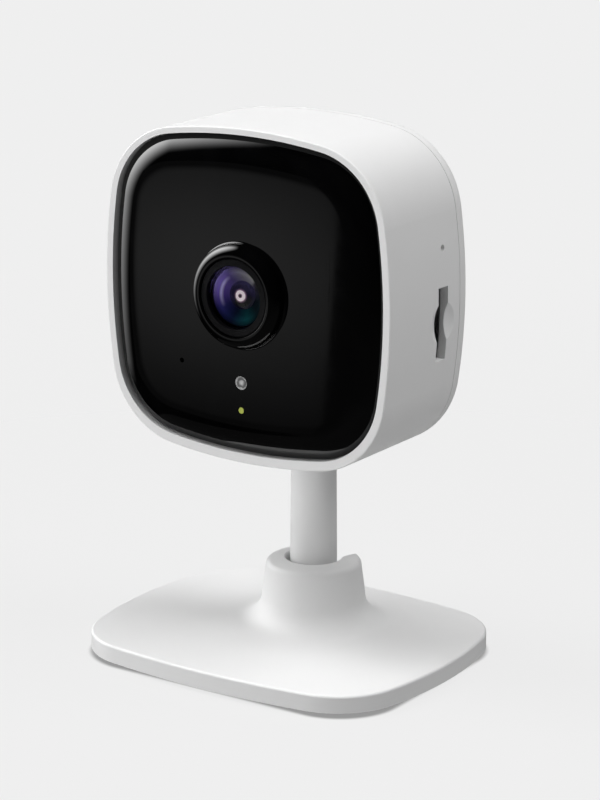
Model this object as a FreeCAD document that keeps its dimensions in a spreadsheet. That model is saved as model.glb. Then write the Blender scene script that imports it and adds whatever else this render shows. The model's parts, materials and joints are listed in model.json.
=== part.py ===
import FreeCAD, Part
import math
import os
import re
import Sketcher
from FreeCAD import Placement, Rotation, Vector

# An indoor security camera on a ball-jointed stand, in millimetres.
# +Z is up, the lens looks along -Y, and the origin is the middle of the footprint, on the table.
# Pieces of the head are placed from the lens axis, pieces of the joint from the stem's axis.

SIZES = {
    # the whole camera
    "base_width": 67.6,
    "base_depth": 54.8,
    "total_height": 98.9,
    # how far cutting shapes run past the faces they cut
    "overcut": 1.0,
    # outline of the base, a rectangle with bowed sides
    "base_side_bulge": 74.0,
    "base_end_bulge": 150.0,
    "base_corner": 13.4,
    # base shell, seen from its lower edge upwards
    "base_edge": 0.9,
    "base_hollow_top": 2.8,
    "base_top": 4.3,
    "base_crown": 0.4,
    "base_wall": 1.6,
    "base_edge_round": 0.45,
    # collar that holds the ball
    "collar_mouth_radius": 8.75,
    "collar_foot_radius": 9.6,
    "collar_flare": 4.4,
    "collar_crown": 0.7,
    "collar_edge_round": 1.0,
    "lip_round": 0.3,
    "notch_shoulder": 4.85,
    "notch_radius": 4.75,
    "throat_radius": 5.0,
    "throat_mouth_radius": 5.2,
    # base plate, snapped into the shell
    "plate_bottom": 0.5,
    "plate_thick": 1.0,
    "plate_gap": 0.1,
    "bead_rise": 0.25,
    "bead_low": 0.95,
    "bead_thick": 0.3,
    "bead_gap": 0.05,
    "wall_hole_spacing": 40.0,
    "wall_hole_radius": 2.1,
    "wall_head_radius": 4.2,
    "access_hole_radius": 1.9,
    # silicone foot pad in a groove of the base plate
    "pad_inset": 4.0,
    "pad_band": 5.0,
    "pad_top": 0.8,
    "pad_gap": 0.1,
    # steel ballast plate
    "ballast_inset": 2.4,
    "ballast_lift": 0.1,
    "ballast_thick": 1.0,
    "ballast_gap": 1.0,
    # ball joint
    "stem_from_back": 19.2,
    "stem_from_middle": 8.2,
    "ball_radius": 5.8,
    "ball_clearance": 0.1,
    "ball_fit": 0.05,
    "ball_bore_radius": 3.0,
    "ball_bore_depth": 3.5,
    "spigot_fit": 0.05,
    "spigot_end_gap": 0.2,
    "well_radius": 7.4,
    "well_shoulder_drop": 1.0,
    "cup_gap": 0.1,
    "cup_bottom": 3.5,
    "cup_hole_radius": 2.5,
    "spring_thick": 0.3,
    "spring_inner_radius": 3.2,
    "spring_outer_radius": 6.6,
    "clamp_radius": 11.5,
    "clamp_thick": 0.8,
    "clamp_hole_radius": 2.0,
    "clamp_screw_offset": 8.9,
    "clamp_screw_radius": 0.7,
    "clamp_screw_top": 6.3,
    "clamp_head_radius": 1.5,
    "clamp_head_height": 0.9,
    # stem
    "stem_foot_radius": 4.35,
    "stem_top_radius": 4.15,
    "stem_ball_gap": 0.1,
    "tenon_radius": 2.5,
    "tenon_gap": 0.05,
    "stem_plate_half_width": 7.0,
    "stem_plate_front": 3.6,
    "stem_plate_back": 2.5,
    "stem_plate_thick": 1.2,
    "stem_plate_lift": 0.3,
    "stem_screw_radius": 1.25,
    "stem_screw_depth": 10.0,
    "stem_screw_head_radius": 2.4,
    "stem_screw_head_height": 2.0,
    # outline and depth of the head, measured from the lens axis
    "head_width": 60.3,
    "head_height": 59.8,
    "outline_drop": 0.75,
    "head_bulge": 106.0,
    "head_corner": 15.4,
    "rim_front": 13.9,
    "seam_back": 8.8,
    "seam_gap": 0.12,
    "head_back": 12.3,
    "head_wall": 1.6,
    "back_wall": 1.5,
    "back_edge_round": 2.2,
    "rim_round": 0.25,
    # front flange inside the housing, the panel's seat
    "panel_seat_depth": 2.1,
    "flange_thick": 1.2,
    "flange_inset": 8.2,
    # the four long housing screws
    "boss_offset": 20.5,
    "boss_radius": 2.6,
    "boss_back": 7.6,
    "boss_gap": 0.1,
    "housing_screw_radius": 1.0,
    "housing_screw_clearance": 0.15,
    "housing_head_radius": 1.9,
    "housing_head_height": 1.5,
    "housing_head_sink": 1.8,
    "housing_screw_end": 10.5,
    # back cover
    "lip_gap": 0.1,
    "lip_thick": 1.0,
    "lip_length": 1.1,
    "lip_cut_half_width": 8.5,
    "lip_cut_height": 5.5,
    # front panel
    "panel_gap": 0.14,
    "panel_rim": 1.45,
    "panel_drop": 0.45,
    "panel_proud": 1.0,
    "panel_edge_round": 2.3,
    "panel_wall": 1.6,
    "panel_band": 3.0,
    "tape_thick": 0.3,
    "tape_gap": 0.6,
    # lens bezel and lens, round the lens axis
    "bezel_hole_margin": 2.05,
    "bezel_hole_gap": 0.05,
    "bezel_flare_margin": 2.75,
    "bezel_flare_height": 0.5,
    "bezel_wall_margin": 2.35,
    "bezel_wall_height": 0.55,
    "bezel_lip_margin": 0.35,
    "bezel_lip_height": 2.45,
    "bezel_shoulder": 2.0,
    "bezel_skirt": 1.7,
    "barrel_radius": 6.95,
    "barrel_gap": 0.1,
    "barrel_proud": 2.2,
    "barrel_chamfer": 0.2,
    "barrel_head_length": 6.0,
    "thread_radius": 6.0,
    "thread_fit": 0.05,
    "barrel_back": 6.9,
    "glass_radius": 5.65,
    "glass_fit": 0.04,
    "glass_sink": 0.9,
    "glass_edge": 0.7,
    "glass_sag": 1.1,
    "glass_back_sag": 0.5,
    "front_glass_ledge": 0.6,
    "lens_part_gap": 0.1,
    "baffle_length": 1.7,
    "baffle_front_gap": 0.15,
    "baffle_radius": 2.3,
    "baffle_wall": 0.3,
    "middle_glass_sag": 0.5,
    "rear_glass_radius": 3.2,
    "rear_glass_thick": 1.4,
    "rear_glass_sag": 0.6,
    "rear_glass_ledge": 0.5,
    "rear_seat": 0.8,
    # windows in the panel
    "light_window_drop": 15.7,
    "light_window_radius": 1.25,
    "status_drop": 20.7,
    "status_radius": 0.6,
    "microphone_side": 12.75,
    "microphone_drop": 13.4,
    "microphone_hole_radius": 0.45,
    "window_fit": 0.04,
    "window_sink": 0.05,
    "window_flange": 0.6,
    "window_flange_thick": 0.5,
    "window_gap": 0.2,
    # openings in the right-hand side wall
    "slot_front": 1.7,
    "slot_width": 3.15,
    "slot_length": 13.2,
    "slot_centre": -4.6,
    "scoop_radius": 3.9,
    "scoop_depth": 1.05,
    "reset_hole_y": 3.5,
    "reset_hole_z": 8.85,
    "reset_hole_radius": 0.6,
    # speaker grille and power inlet in the back cover
    "speaker_lift": 7.0,
    "grille_pitch": 2.5,
    "grille_hole_radius": 0.6,
    "inlet_drop": 12.0,
    "inlet_radius": 3.2,
    # boards
    "led_board_front": 8.6,
    "led_board_thick": 1.0,
    "led_board_half_width": 17.3,
    "led_board_margin": 2.8,
    "led_board_lens_hole": 8.3,
    "led_screw_x": 12.0,
    "led_screw_margin": 1.5,
    "led_pad_radius": 1.8,
    "sensor_board_front": 1.6,
    "sensor_board_thick": 1.0,
    "sensor_board_half": 12.5,
    "spacer_offset": 10.5,
    "spacer_radius": 1.6,
    "main_board_y": 4.3,
    "main_board_thick": 1.2,
    "main_board_left": 25.0,
    "main_board_side_gap": 3.25,
    "main_board_half_height": 17.0,
    "post_x": 22.0,
    "post_z": 14.0,
    "post_radius": 2.0,
    "board_screw_radius": 0.8,
    "board_head_radius": 1.5,
    "board_head_height": 0.8,
    "board_screw_length": 3.8,
    "screw_end_gap": 0.2,
    # lens holder with the night filter
    "holder_half_width": 11.0,
    "holder_half_height": 7.5,
    "holder_depth": 4.8,
    "holder_tube_radius": 7.5,
    "holder_tube_length": 3.1,
    "holder_bore_radius": 3.6,
    "holder_thread_sink": 0.4,
    "filter_travel": 6.4,
    "filter_window": 5.4,
    "filter_frame_length": 13.2,
    "filter_frame_height": 7.4,
    "filter_frame_thick": 0.9,
    "filter_gap": 0.15,
    "filter_back": 3.7,
    "sensor_width": 9.0,
    "sensor_height": 7.5,
    "sensor_thick": 0.9,
    "sensor_gap": 0.5,
    "coil_half_width": 5.0,
    "coil_height": 3.2,
    "coil_inset": 0.4,
    # card socket and reset switch
    "socket_length": 14.4,
    "socket_mouth_gap": 1.15,
    "socket_wall": 0.4,
    "card_width": 11.4,
    "card_thick": 1.1,
    "slider_length": 1.6,
    "slider_gap": 0.12,
    "slider_travel": 1.0,
    "switch_overhang": 0.2,
    "switch_length": 3.2,
    "switch_half_height": 1.8,
    "switch_front": 1.6,
    "button_cap_radius": 0.9,
    "button_cap_length": 1.2,
    "button_shaft_radius": 0.5,
    "button_shaft_length": 1.1,
    "button_travel": 0.3,
    "button_gap": 0.1,
    # parts on the boards
    "speaker_radius": 10.0,
    "speaker_depth": 3.6,
    "speaker_rim": 1.5,
    "gasket_thick": 0.6,
    "jack_half_width": 4.5,
    "jack_half_height": 4.0,
    "jack_bore_radius": 2.0,
    "jack_bore_depth": 4.2,
    "jack_pin_radius": 0.6,
    "jack_pin_sink": 0.5,
    "jack_gap": 0.1,
    "shield_left": 24.0,
    "shield_width": 16.0,
    "shield_half_height": 7.5,
    "shield_height": 2.0,
    "shield_sheet": 0.3,
    "chip_half": 5.5,
    "chip_height": 1.2,
    "ir_led_radius": 14.0,
    "ir_led_half": 1.7,
    "ir_led_height": 1.9,
    "microphone_half": 1.6,
    "microphone_height": 1.1,
    "boot_radius": 2.2,
    "light_sensor_half": 1.1,
    "light_sensor_height": 0.8,
    "connector_half_width": 5.0,
    "connector_low": 8.0,
    "connector_thick": 3.0,
    "ribbon_half_width": 5.0,
    "ribbon_lift": 15.5,
    "ribbon_thick": 0.2,
    "antenna_half_length": 10.0,
    "antenna_width": 7.0,
    "antenna_thick": 0.5,
    "antenna_gap": 0.7,
}

# Places that follow from the sizes, each used under its name in the formulas below.
DERIVED = {
    "stem_y": "base_depth / 2 - stem_from_back",
    "head_y": "stem_y - stem_from_middle",
    "ball_height": "cup_bottom + ball_radius + ball_clearance",
    "collar_top": "ball_height + ball_radius",
    "collar_lip": "ball_height + ball_radius + collar_crown",
    "head_z": "total_height - head_height / 2 + outline_drop",
    "head_bottom": "total_height - head_height",
    "outline_bottom": "-outline_drop - head_height / 2",
    "side_inner": "head_width / 2 - head_wall",
    "plate_top": "plate_bottom + plate_thick",
    "clamp_low": "base_hollow_top - clamp_thick",
    "well_top": "ball_height - well_shoulder_drop",
    "seat_radius": "ball_radius + ball_fit",
    "stem_end_radius": "ball_radius + stem_ball_gap",
    "spigot_radius": "ball_bore_radius - spigot_fit",
    "tenon_top": "head_bottom + head_wall + stem_plate_lift",
    "panel_front": "rim_front + panel_proud",
    "seat_front": "rim_front - panel_seat_depth",
    "panel_back": "rim_front - panel_seat_depth + tape_thick",
    "panel_inner": "rim_front + panel_proud - panel_wall",
    "flange_back": "rim_front - panel_seat_depth - flange_thick",
    "cover_front": "seam_back + seam_gap",
    "cover_inner": "head_back - back_wall",
    "bezel_hole_radius": "barrel_radius + bezel_hole_margin",
    "bezel_flare_radius": "barrel_radius + bezel_flare_margin",
    "bezel_wall_radius": "barrel_radius + bezel_wall_margin",
    "bezel_lip_radius": "barrel_radius + bezel_lip_margin",
    "barrel_front": "rim_front + panel_proud + barrel_proud",
    "glass_back": "rim_front + panel_proud + barrel_proud - glass_sink - glass_edge",
    "holder_front": "sensor_board_front + holder_depth",
    "slot_y": "slot_front + slot_width / 2",
    "speaker_back": "head_back - back_wall - gasket_thick",
    "baffle_back": "glass_back - baffle_length",
    "rear_seat_front": "barrel_back + rear_seat",
    "led_board_back": "led_board_front - led_board_thick",
    "led_board_half_height": "head_height / 2 - head_wall - led_board_margin",
    "led_screw_z": "led_board_half_height - led_screw_margin",
    "main_board_back": "main_board_y + main_board_thick",
    "main_board_right": "side_inner - main_board_side_gap",
    "socket_mouth": "side_inner - socket_mouth_gap",
    "socket_inner_end": "socket_mouth - socket_length",
    "switch_right": "main_board_right + switch_overhang",
}

HEAD = "head_z"
STAND = "0"
SHIFT = {HEAD: "head_y", STAND: "0"}
CORNERS = [(x, z) for x in (-1, 1) for z in (-1, 1)]

doc = FreeCAD.newDocument("security_camera")
sheet = doc.addObject("Spreadsheet::Sheet", "Sizes")
for row, (size_name, size_value) in enumerate(SIZES.items(), 1):
    sheet.set(f"A{row}", size_name)
    sheet.set(f"B{row}", str(size_value))
    sheet.setAlias(f"B{row}", size_name)
doc.recompute()

nodes = []


# ---------------------------------------------------------------- formulas and features

def tied(formula):
    """A formula written with size names, as an expression that reads the sheet."""
    def lookup(match):
        word = match.group()
        if word in DERIVED:
            return "(" + tied(DERIVED[word]) + ")"
        return f"Sizes.{word}" if word in SIZES else word
    return re.sub(r"[A-Za-z_]\w*", lookup, str(formula))


def number(formula):
    """The present value of a formula, for a sketch's first guess and for choosing edges."""
    result = sheet.evalExpression(tied(formula))
    return float(getattr(result, "Value", result))


def bind(thing, **formulas):
    """Bind properties to formulas: Length="a + b" and so on."""
    for name, formula in formulas.items():
        thing.setExpression(name, tied(formula))
    return thing


def place(thing, x, y, z, turn=None):
    """Bind where a thing stands, after giving it its turn."""
    thing.Placement = Placement(Vector(0, 0, 0), turn or Rotation())
    for axis, formula in zip("xyz", (x, y, z)):
        thing.setExpression(f"Placement.Base.{axis}", tied(formula))
    return thing


def node(thing, name):
    """Keep a thing as one of the object's pieces, under its own label."""
    thing.Label = name
    nodes.append(thing)
    return thing


def new_body(name, x="0", y="0", z="0"):
    return node(place(doc.addObject("PartDesign::Body", name), x, y, z), name)


def sketch(body, name, role, offset="0", shift="0"):
    """A sketch on one of the body's planes, moved along its normal and up in its own plane."""
    plane = next(item for item in body.Origin.OriginFeatures if item.Role == role)
    drawing = body.newObject("Sketcher::SketchObject", name)
    drawing.AttachmentSupport = (plane, [""])
    drawing.MapMode = "FlatFace"
    drawing.setExpression("AttachmentOffset.Base.z", tied(offset))
    drawing.setExpression("AttachmentOffset.Base.y", tied(shift))
    return drawing


def dimension(drawing, kind, where, formula):
    """A dimension whose value is bound to a formula."""
    index = drawing.addConstraint(Sketcher.Constraint(kind, *where, number(formula)))
    drawing.setExpression(f"Constraints[{index}]", tied(formula))


def pin(drawing, geometry, point, x, y):
    """Hold a point of a curve at x, y from the sketch's origin."""
    for kind, axis, formula in (("DistanceX", -2, x), ("DistanceY", -1, y)):
        if str(formula) == "0":
            drawing.addConstraint(Sketcher.Constraint("PointOnObject", geometry, point, axis))
        else:
            dimension(drawing, kind, (-1, 1, geometry, point), formula)


def circle(drawing, x, y, radius):
    centre = Vector(number(x), number(y), 0)
    index = drawing.addGeometry(Part.Circle(centre, Vector(0, 0, 1), number(radius)), False)
    pin(drawing, index, 3, x, y)
    dimension(drawing, "Radius", (index,), radius)


def arc_centre(start, end, radius):
    """Centre of the arc from start to end: a positive radius turns anticlockwise."""
    chord = end - start
    side = Vector(-chord.y, chord.x, 0).normalize()
    rise = math.sqrt(max(radius * radius - chord.Length ** 2 / 4, 0))
    return (start + end) * 0.5 + side * math.copysign(rise, radius)


def profile(drawing, corners):
    """A closed outline of straight lines and arcs.

    Each corner is (x, y), or (x, y, radius) where an arc leads on to the next corner,
    anticlockwise when the sign "+" stands before its radius and clockwise for "-".
    """
    points = [Vector(number(corner[0]), number(corner[1]), 0) for corner in corners]
    curves = []
    for index, corner in enumerate(corners):
        start = points[index]
        end = points[(index + 1) % len(points)]
        if len(corner) == 2:
            curves.append((drawing.addGeometry(Part.LineSegment(start, end), False), 1, 2))
            continue
        turn = 1 if corner[2][0] == "+" else -1
        radius = number(corner[2][1:])
        centre = arc_centre(start, end, turn * radius)
        first, last = (start, end) if turn > 0 else (end, start)
        low = math.atan2(first.y - centre.y, first.x - centre.x)
        high = math.atan2(last.y - centre.y, last.x - centre.x)
        if high < low:
            high += 2 * math.pi
        ring = Part.Circle(centre, Vector(0, 0, 1), radius)
        curve = drawing.addGeometry(Part.ArcOfCircle(ring, low, high), False)
        curves.append((curve, 1, 2) if turn > 0 else (curve, 2, 1))
        dimension(drawing, "Radius", (curve,), corner[2][1:])
    for index, corner in enumerate(corners):
        curve, start, _ = curves[index]
        previous, _, end = curves[index - 1]
        drawing.addConstraint(Sketcher.Constraint("Coincident", previous, end, curve, start))
        pin(drawing, curve, start, corner[0], corner[1])


def rectangle(drawing, left, right, low, high):
    profile(drawing, [(left, low), (right, low), (right, high), (left, high)])


def bowed_outline(drawing, half_width, half_height, side_bulge, end_bulge, corner, centre_y="0"):
    """A rectangle with bowed sides: four flat arcs joined by four tangent corner arcs."""
    wide, high, side, end, small = [
        number(item) for item in (half_width, half_height, side_bulge, end_bulge, corner)]
    side_centre = Vector(wide - side, 0, 0)
    end_centre = Vector(0, high - end, 0)
    between = end_centre - side_centre
    along = (between.Length ** 2 + (side - small) ** 2 - (end - small) ** 2) / (2 * between.Length)
    across = math.sqrt((side - small) ** 2 - along ** 2)
    unit = Vector(between).normalize()
    options = [side_centre + unit * along + Vector(-unit.y, unit.x, 0) * sign * across
               for sign in (1, -1)]
    elbow = max(options, key=lambda point: point.x + point.y)
    low = math.atan2(elbow.y, elbow.x - side_centre.x)
    top = math.atan2(elbow.y - end_centre.y, elbow.x)
    pi = math.pi
    arcs = [
        (side_centre, side, -low, low),
        (elbow, small, low, top),
        (end_centre, end, top, pi - top),
        (Vector(-elbow.x, elbow.y, 0), small, pi - top, pi - low),
        (-side_centre, side, pi - low, pi + low),
        (-elbow, small, pi + low, pi + top),
        (-end_centre, end, pi + top, 2 * pi - top),
        (Vector(elbow.x, -elbow.y, 0), small, 2 * pi - top, 2 * pi - low),
    ]
    lift = Vector(0, number(centre_y), 0)
    curves = []
    for centre, radius, first, last in arcs:
        ring = Part.Circle(centre + lift, Vector(0, 0, 1), radius)
        curves.append(drawing.addGeometry(Part.ArcOfCircle(ring, first, last), False))
    for index, curve in enumerate(curves):
        following = curves[(index + 1) % 8]
        drawing.addConstraint(Sketcher.Constraint("Tangent", curve, 2, following, 1))
    for first, second in ((1, 3), (1, 5), (1, 7), (0, 4), (2, 6)):
        drawing.addConstraint(Sketcher.Constraint("Equal", curves[first], curves[second]))
    for curve, formula in ((0, side_bulge), (1, corner), (2, end_bulge)):
        dimension(drawing, "Radius", (curves[curve],), formula)
    for curve, sign in ((0, "-"), (4, "")):
        reach = f"{sign}(({side_bulge}) - ({half_width}))"
        pin(drawing, curves[curve], 3, reach, centre_y)
    for curve, sign in ((2, "-"), (6, "")):
        reach = f"({centre_y}) {sign or '+'} (({end_bulge}) - ({half_height}))"
        pin(drawing, curves[curve], 3, "0", reach)


def head_outline(drawing, inset="0", drop="outline_drop"):
    bowed_outline(drawing, f"head_width / 2 - ({inset})", f"head_height / 2 - ({inset})",
                  f"head_bulge - ({inset})", f"head_bulge - ({inset})",
                  f"head_corner - ({inset})", f"-({drop})")


def base_outline(drawing, inset="0", centre_y="0"):
    bowed_outline(drawing, f"base_width / 2 - ({inset})", f"base_depth / 2 - ({inset})",
                  f"base_side_bulge - ({inset})", f"base_end_bulge - ({inset})",
                  f"base_corner - ({inset})", centre_y)


def changed(body, before, adds, name):
    """Recompute, and stop if a feature didn't add or remove what it should."""
    doc.recompute()
    after = body.Shape.Volume
    if (after <= before + 1e-6) if adds else (after >= before - 1e-6):
        raise RuntimeError(f"{body.Label}: {name} changed the volume from {before} to {after}")


def feature(body, kind, drawing, name, adds, backwards=False, **formulas):
    """A PartDesign feature made from a sketch, with its direction checked by volume."""
    before = body.Shape.Volume if body.Tip else 0.0
    made = body.newObject(f"PartDesign::{kind}", name)
    made.Profile = drawing
    if kind in ("Pad", "Pocket"):
        made.Reversed = backwards
    bind(made, **formulas)
    drawing.Visibility = False
    changed(body, before, adds, name)
    return made


def pad(body, drawing, name, length, backwards=False):
    return feature(body, "Pad", drawing, name, True, backwards, Length=length)


def pocket(body, drawing, name, length, backwards=False):
    return feature(body, "Pocket", drawing, name, False, backwards, Length=length)


def turned(body, drawing, name, axis, removes=False):
    """A revolution or, where it removes, a groove, once round a sketch axis."""
    before = body.Shape.Volume if body.Tip else 0.0
    kind = "Groove" if removes else "Revolution"
    made = body.newObject(f"PartDesign::{kind}", name)
    made.Profile = drawing
    made.ReferenceAxis = (drawing, [axis])
    made.Angle = 360
    drawing.Visibility = False
    changed(body, before, not removes, name)
    return made


def rounded(body, name, radius, chosen):
    """Fillet the edges for which chosen(edge) is true."""
    tip = body.Tip
    local = tip.Shape
    edges = [f"Edge{index}" for index, edge in enumerate(local.Edges, 1) if chosen(edge)]
    if not edges:
        raise RuntimeError(f"{body.Label}: no edge for {name}")
    made = body.newObject("PartDesign::Fillet", name)
    made.Base = (tip, edges)
    bind(made, Radius=radius)
    doc.recompute()
    return made


def flat_at(edge, axis, level, least_size=0.0):
    """True for an edge lying in the plane axis = level whose box is wide enough."""
    box = edge.BoundBox
    low = getattr(box, f"{axis}Min")
    high = getattr(box, f"{axis}Max")
    centre = edge.CenterOfMass
    reach = max(abs(centre.x), abs(centre.y), abs(centre.z))
    return abs(low - level) < 1e-4 and abs(high - level) < 1e-4 and reach >= least_size


def block(name, xs, ys, zs, level=HEAD):
    """A box between the low and high formulas along each axis."""
    made = doc.addObject("Part::Box", name)
    bind(made, Length=f"({xs[1]}) - ({xs[0]})", Width=f"({ys[1]}) - ({ys[0]})",
         Height=f"({zs[1]}) - ({zs[0]})")
    return place(made, xs[0], f"{SHIFT[level]} + ({ys[0]})", f"{level} + ({zs[0]})")


TURNS = {
    "X": Rotation(Vector(0, 1, 0), 90),
    "Y": Rotation(Vector(1, 0, 0), -90),
    "Z": Rotation(),
}


def rod(name, axis, at, radius, reach, level=HEAD):
    """A cylinder along an axis: at gives its other two coordinates, reach its two ends."""
    made = doc.addObject("Part::Cylinder", name)
    bind(made, Radius=radius, Height=f"({reach[1]}) - ({reach[0]})")
    start = {"X": (reach[0], *at), "Y": (at[0], reach[0], at[1]), "Z": (*at, reach[0])}[axis]
    return place(made, start[0], f"{SHIFT[level]} + ({start[1]})", f"{level} + ({start[2]})",
                 TURNS[axis])


def cut(name, base, *tools):
    tool = tools[0] if len(tools) == 1 else joined(f"{name}_tools", *tools)
    made = doc.addObject("Part::Cut", name)
    made.Base = base
    made.Tool = tool
    base.recompute()
    before = base.Shape.Volume
    doc.recompute()
    if made.Shape.Volume >= before - 1e-6:
        raise RuntimeError(f"{name}: the cut removed nothing")
    return made


def joined(name, *parts):
    made = doc.addObject("Part::MultiFuse", name)
    made.Shapes = list(parts)
    doc.recompute()
    return made


def group(name, parts):
    """Several separate solids kept as one piece of the parts list."""
    made = doc.addObject("Part::Compound", name)
    made.Links = list(parts)
    doc.recompute()
    return node(made, name)


def screw_set(name, axis, places, head, shank, level=HEAD):
    """Pan-head screws: head and shank are (radius, low end, high end) along the axis."""
    made = []
    for index, at in enumerate(places, 1):
        cap = rod(f"{name}_head_{index}", axis, at, head[0], head[1:], level)
        shaft = rod(f"{name}_shank_{index}", axis, at, shank[0], shank[1:], level)
        made.append(joined(f"{name}_{index}", cap, shaft))
    return group(name, made)


def four(x, z):
    """The four places (+-x, +-z)."""
    return [(f"{side} * ({x})", f"{rise} * ({z})") for side, rise in CORNERS]


# ---------------------------------------------------------------- stand

def notch(body, name):
    """The opening at the back that lets the stem fold down, cut from the axis outwards."""
    drawing = sketch(body, f"{name}_outline", "XZ_Plane")
    profile(drawing, [
        ("-notch_radius", "ball_height", "+notch_radius"),
        ("0", "ball_height - notch_radius", "+notch_radius"),
        ("notch_radius", "ball_height"),
        ("notch_shoulder", "collar_lip + overcut"),
        ("-notch_shoulder", "collar_lip + overcut"),
    ])
    pocket(body, drawing, name, "base_depth")


def base_shell():
    """White shell: a low bowed plate that flares up into the collar round the ball."""
    body = new_body("base_shell", "0", "stem_y", "0")
    outline = sketch(body, "footprint", "XY_Plane", "base_edge")
    base_outline(outline, "0", "-stem_y")
    pad(body, outline, "block", "collar_lip - base_edge")

    around = sketch(body, "outside", "XZ_Plane")
    profile(around, [
        ("throat_mouth_radius", "collar_lip"),
        ("collar_mouth_radius", "collar_top"),
        ("collar_foot_radius", "base_top + collar_flare", "+collar_flare"),
        ("collar_foot_radius + collar_flare", "base_top"),
        ("base_width", "base_top - base_crown"),
        ("base_width", "collar_lip + overcut"),
        ("throat_mouth_radius", "collar_lip + overcut"),
    ])
    turned(body, around, "flare", "V_Axis", removes=True)

    hollow = sketch(body, "underside", "XY_Plane", "base_edge")
    base_outline(hollow, "base_wall", "-stem_y")
    pocket(body, hollow, "hollow", "base_hollow_top - base_edge", backwards=True)

    groove = sketch(body, "snap_line", "XY_Plane", "bead_low - bead_gap")
    base_outline(groove, "base_wall - bead_rise - bead_gap", "-stem_y")
    pocket(body, groove, "snap_groove", "bead_thick + 2 * bead_gap", backwards=True)

    well = sketch(body, "well_section", "XZ_Plane")
    seat_rise = "sqrt(seat_radius ^ 2 - throat_radius ^ 2)"
    profile(well, [
        ("0", "base_edge"),
        ("well_radius", "base_edge"),
        ("well_radius", "well_top"),
        ("sqrt(seat_radius ^ 2 - well_shoulder_drop ^ 2)", "well_top", "+seat_radius"),
        ("throat_radius", f"ball_height + {seat_rise}"),
        ("throat_mouth_radius", "collar_lip"),
        ("throat_mouth_radius", "collar_lip + overcut"),
        ("0", "collar_lip + overcut"),
    ])
    turned(body, well, "ball_well", "V_Axis", removes=True)
    notch(body, "collar_notch")

    bores = sketch(body, "clamp_bore_places", "XY_Plane", "base_hollow_top")
    for side in (-1, 1):
        circle(bores, f"{side} * clamp_screw_offset", "0", "clamp_screw_radius")
    pocket(body, bores, "clamp_bores", "clamp_screw_top - base_hollow_top", backwards=True)

    rim = number("collar_top")
    lip = number("collar_lip")
    mouth = number("collar_mouth_radius")
    above = number("base_hollow_top")
    below = number("base_top + base_edge_round")
    on_plate = number("collar_foot_radius + collar_flare")

    def upper_edge(edge):
        box = edge.BoundBox
        outside = max(abs(box.XMax), abs(box.XMin), abs(box.YMax), abs(box.YMin)) > on_plate
        return outside and box.ZMin > above and box.ZMax < below

    rounded(body, "edge_round", "base_edge_round", upper_edge)
    rounded(body, "collar_round", "collar_edge_round",
            lambda edge: flat_at(edge, "Z", rim) and edge.BoundBox.XLength > mouth)
    rounded(body, "lip_edge_round", "lip_round",
            lambda edge: flat_at(edge, "Z", lip) and edge.BoundBox.XLength > mouth)


def base_plate():
    """Plate that closes the base, with two wall-screw holes; a bead snaps it into the shell."""
    body = new_body("base_plate")
    outline = sketch(body, "plate_outline", "XY_Plane", "plate_bottom")
    base_outline(outline, "base_wall + plate_gap")
    pad(body, outline, "plate", "plate_thick")
    bead = sketch(body, "bead_outline", "XY_Plane", "bead_low")
    base_outline(bead, "base_wall - bead_rise")
    pad(body, bead, "snap_bead", "bead_thick")
    groove = sketch(body, "pad_groove_outline", "XY_Plane", "plate_bottom")
    base_outline(groove, "pad_inset")
    base_outline(groove, "pad_inset + pad_band")
    pocket(body, groove, "pad_groove", "pad_top - plate_bottom", backwards=True)
    holes = sketch(body, "hole_places", "XY_Plane", "plate_bottom")
    for side in (-1, 1):
        circle(holes, f"{side} * wall_hole_spacing / 2", "0", "wall_hole_radius")
        circle(holes, f"{side} * clamp_screw_offset", "stem_y", "access_hole_radius")
    pocket(body, holes, "holes", "plate_thick", backwards=True)


def foot_pad():
    """Silicone ring that the camera rests on."""
    body = new_body("foot_pad")
    ring = sketch(body, "ring", "XY_Plane")
    base_outline(ring, "pad_inset + pad_gap")
    base_outline(ring, "pad_inset + pad_band - pad_gap")
    pad(body, ring, "pad", "pad_top")


def ballast_plate():
    """Steel plate that keeps the camera from tipping."""
    body = new_body("ballast_plate")
    outline = sketch(body, "ballast_outline", "XY_Plane", "plate_top + ballast_lift")
    base_outline(outline, "ballast_inset")
    circle(outline, "0", "stem_y", "clamp_radius + ballast_gap")
    for side in (-1, 1):
        circle(outline, f"{side} * wall_hole_spacing / 2", "0", "wall_head_radius")
    pad(body, outline, "plate", "ballast_thick")


def clamp_plate():
    """Steel disc, screwed up into the shell, that carries the spring under the ball."""
    body = new_body("clamp_plate", "0", "stem_y", "0")
    outline = sketch(body, "clamp_outline", "XY_Plane", "clamp_low")
    circle(outline, "0", "0", "clamp_radius")
    circle(outline, "0", "0", "clamp_hole_radius")
    for side in (-1, 1):
        circle(outline, f"{side} * clamp_screw_offset", "0", "clamp_screw_radius")
    pad(body, outline, "disc", "clamp_thick")


def clamp_screws():
    places = [(f"{side} * clamp_screw_offset", "stem_y") for side in (-1, 1)]
    screw_set("clamp_screws", "Z", places,
              ("clamp_head_radius", "clamp_low - clamp_head_height", "clamp_low"),
              ("clamp_screw_radius", "clamp_low", "clamp_screw_top"), STAND)


def clamp_spring():
    """Coned spring washer that presses the cup against the ball."""
    body = new_body("clamp_spring", "0", "stem_y", "0")
    section = sketch(body, "spring_section", "XZ_Plane")
    profile(section, [
        ("spring_inner_radius", "cup_bottom - spring_thick"),
        ("spring_outer_radius", "base_hollow_top"),
        ("spring_outer_radius", "base_hollow_top + spring_thick"),
        ("spring_inner_radius", "cup_bottom"),
    ])
    turned(body, section, "washer", "V_Axis")


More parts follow.
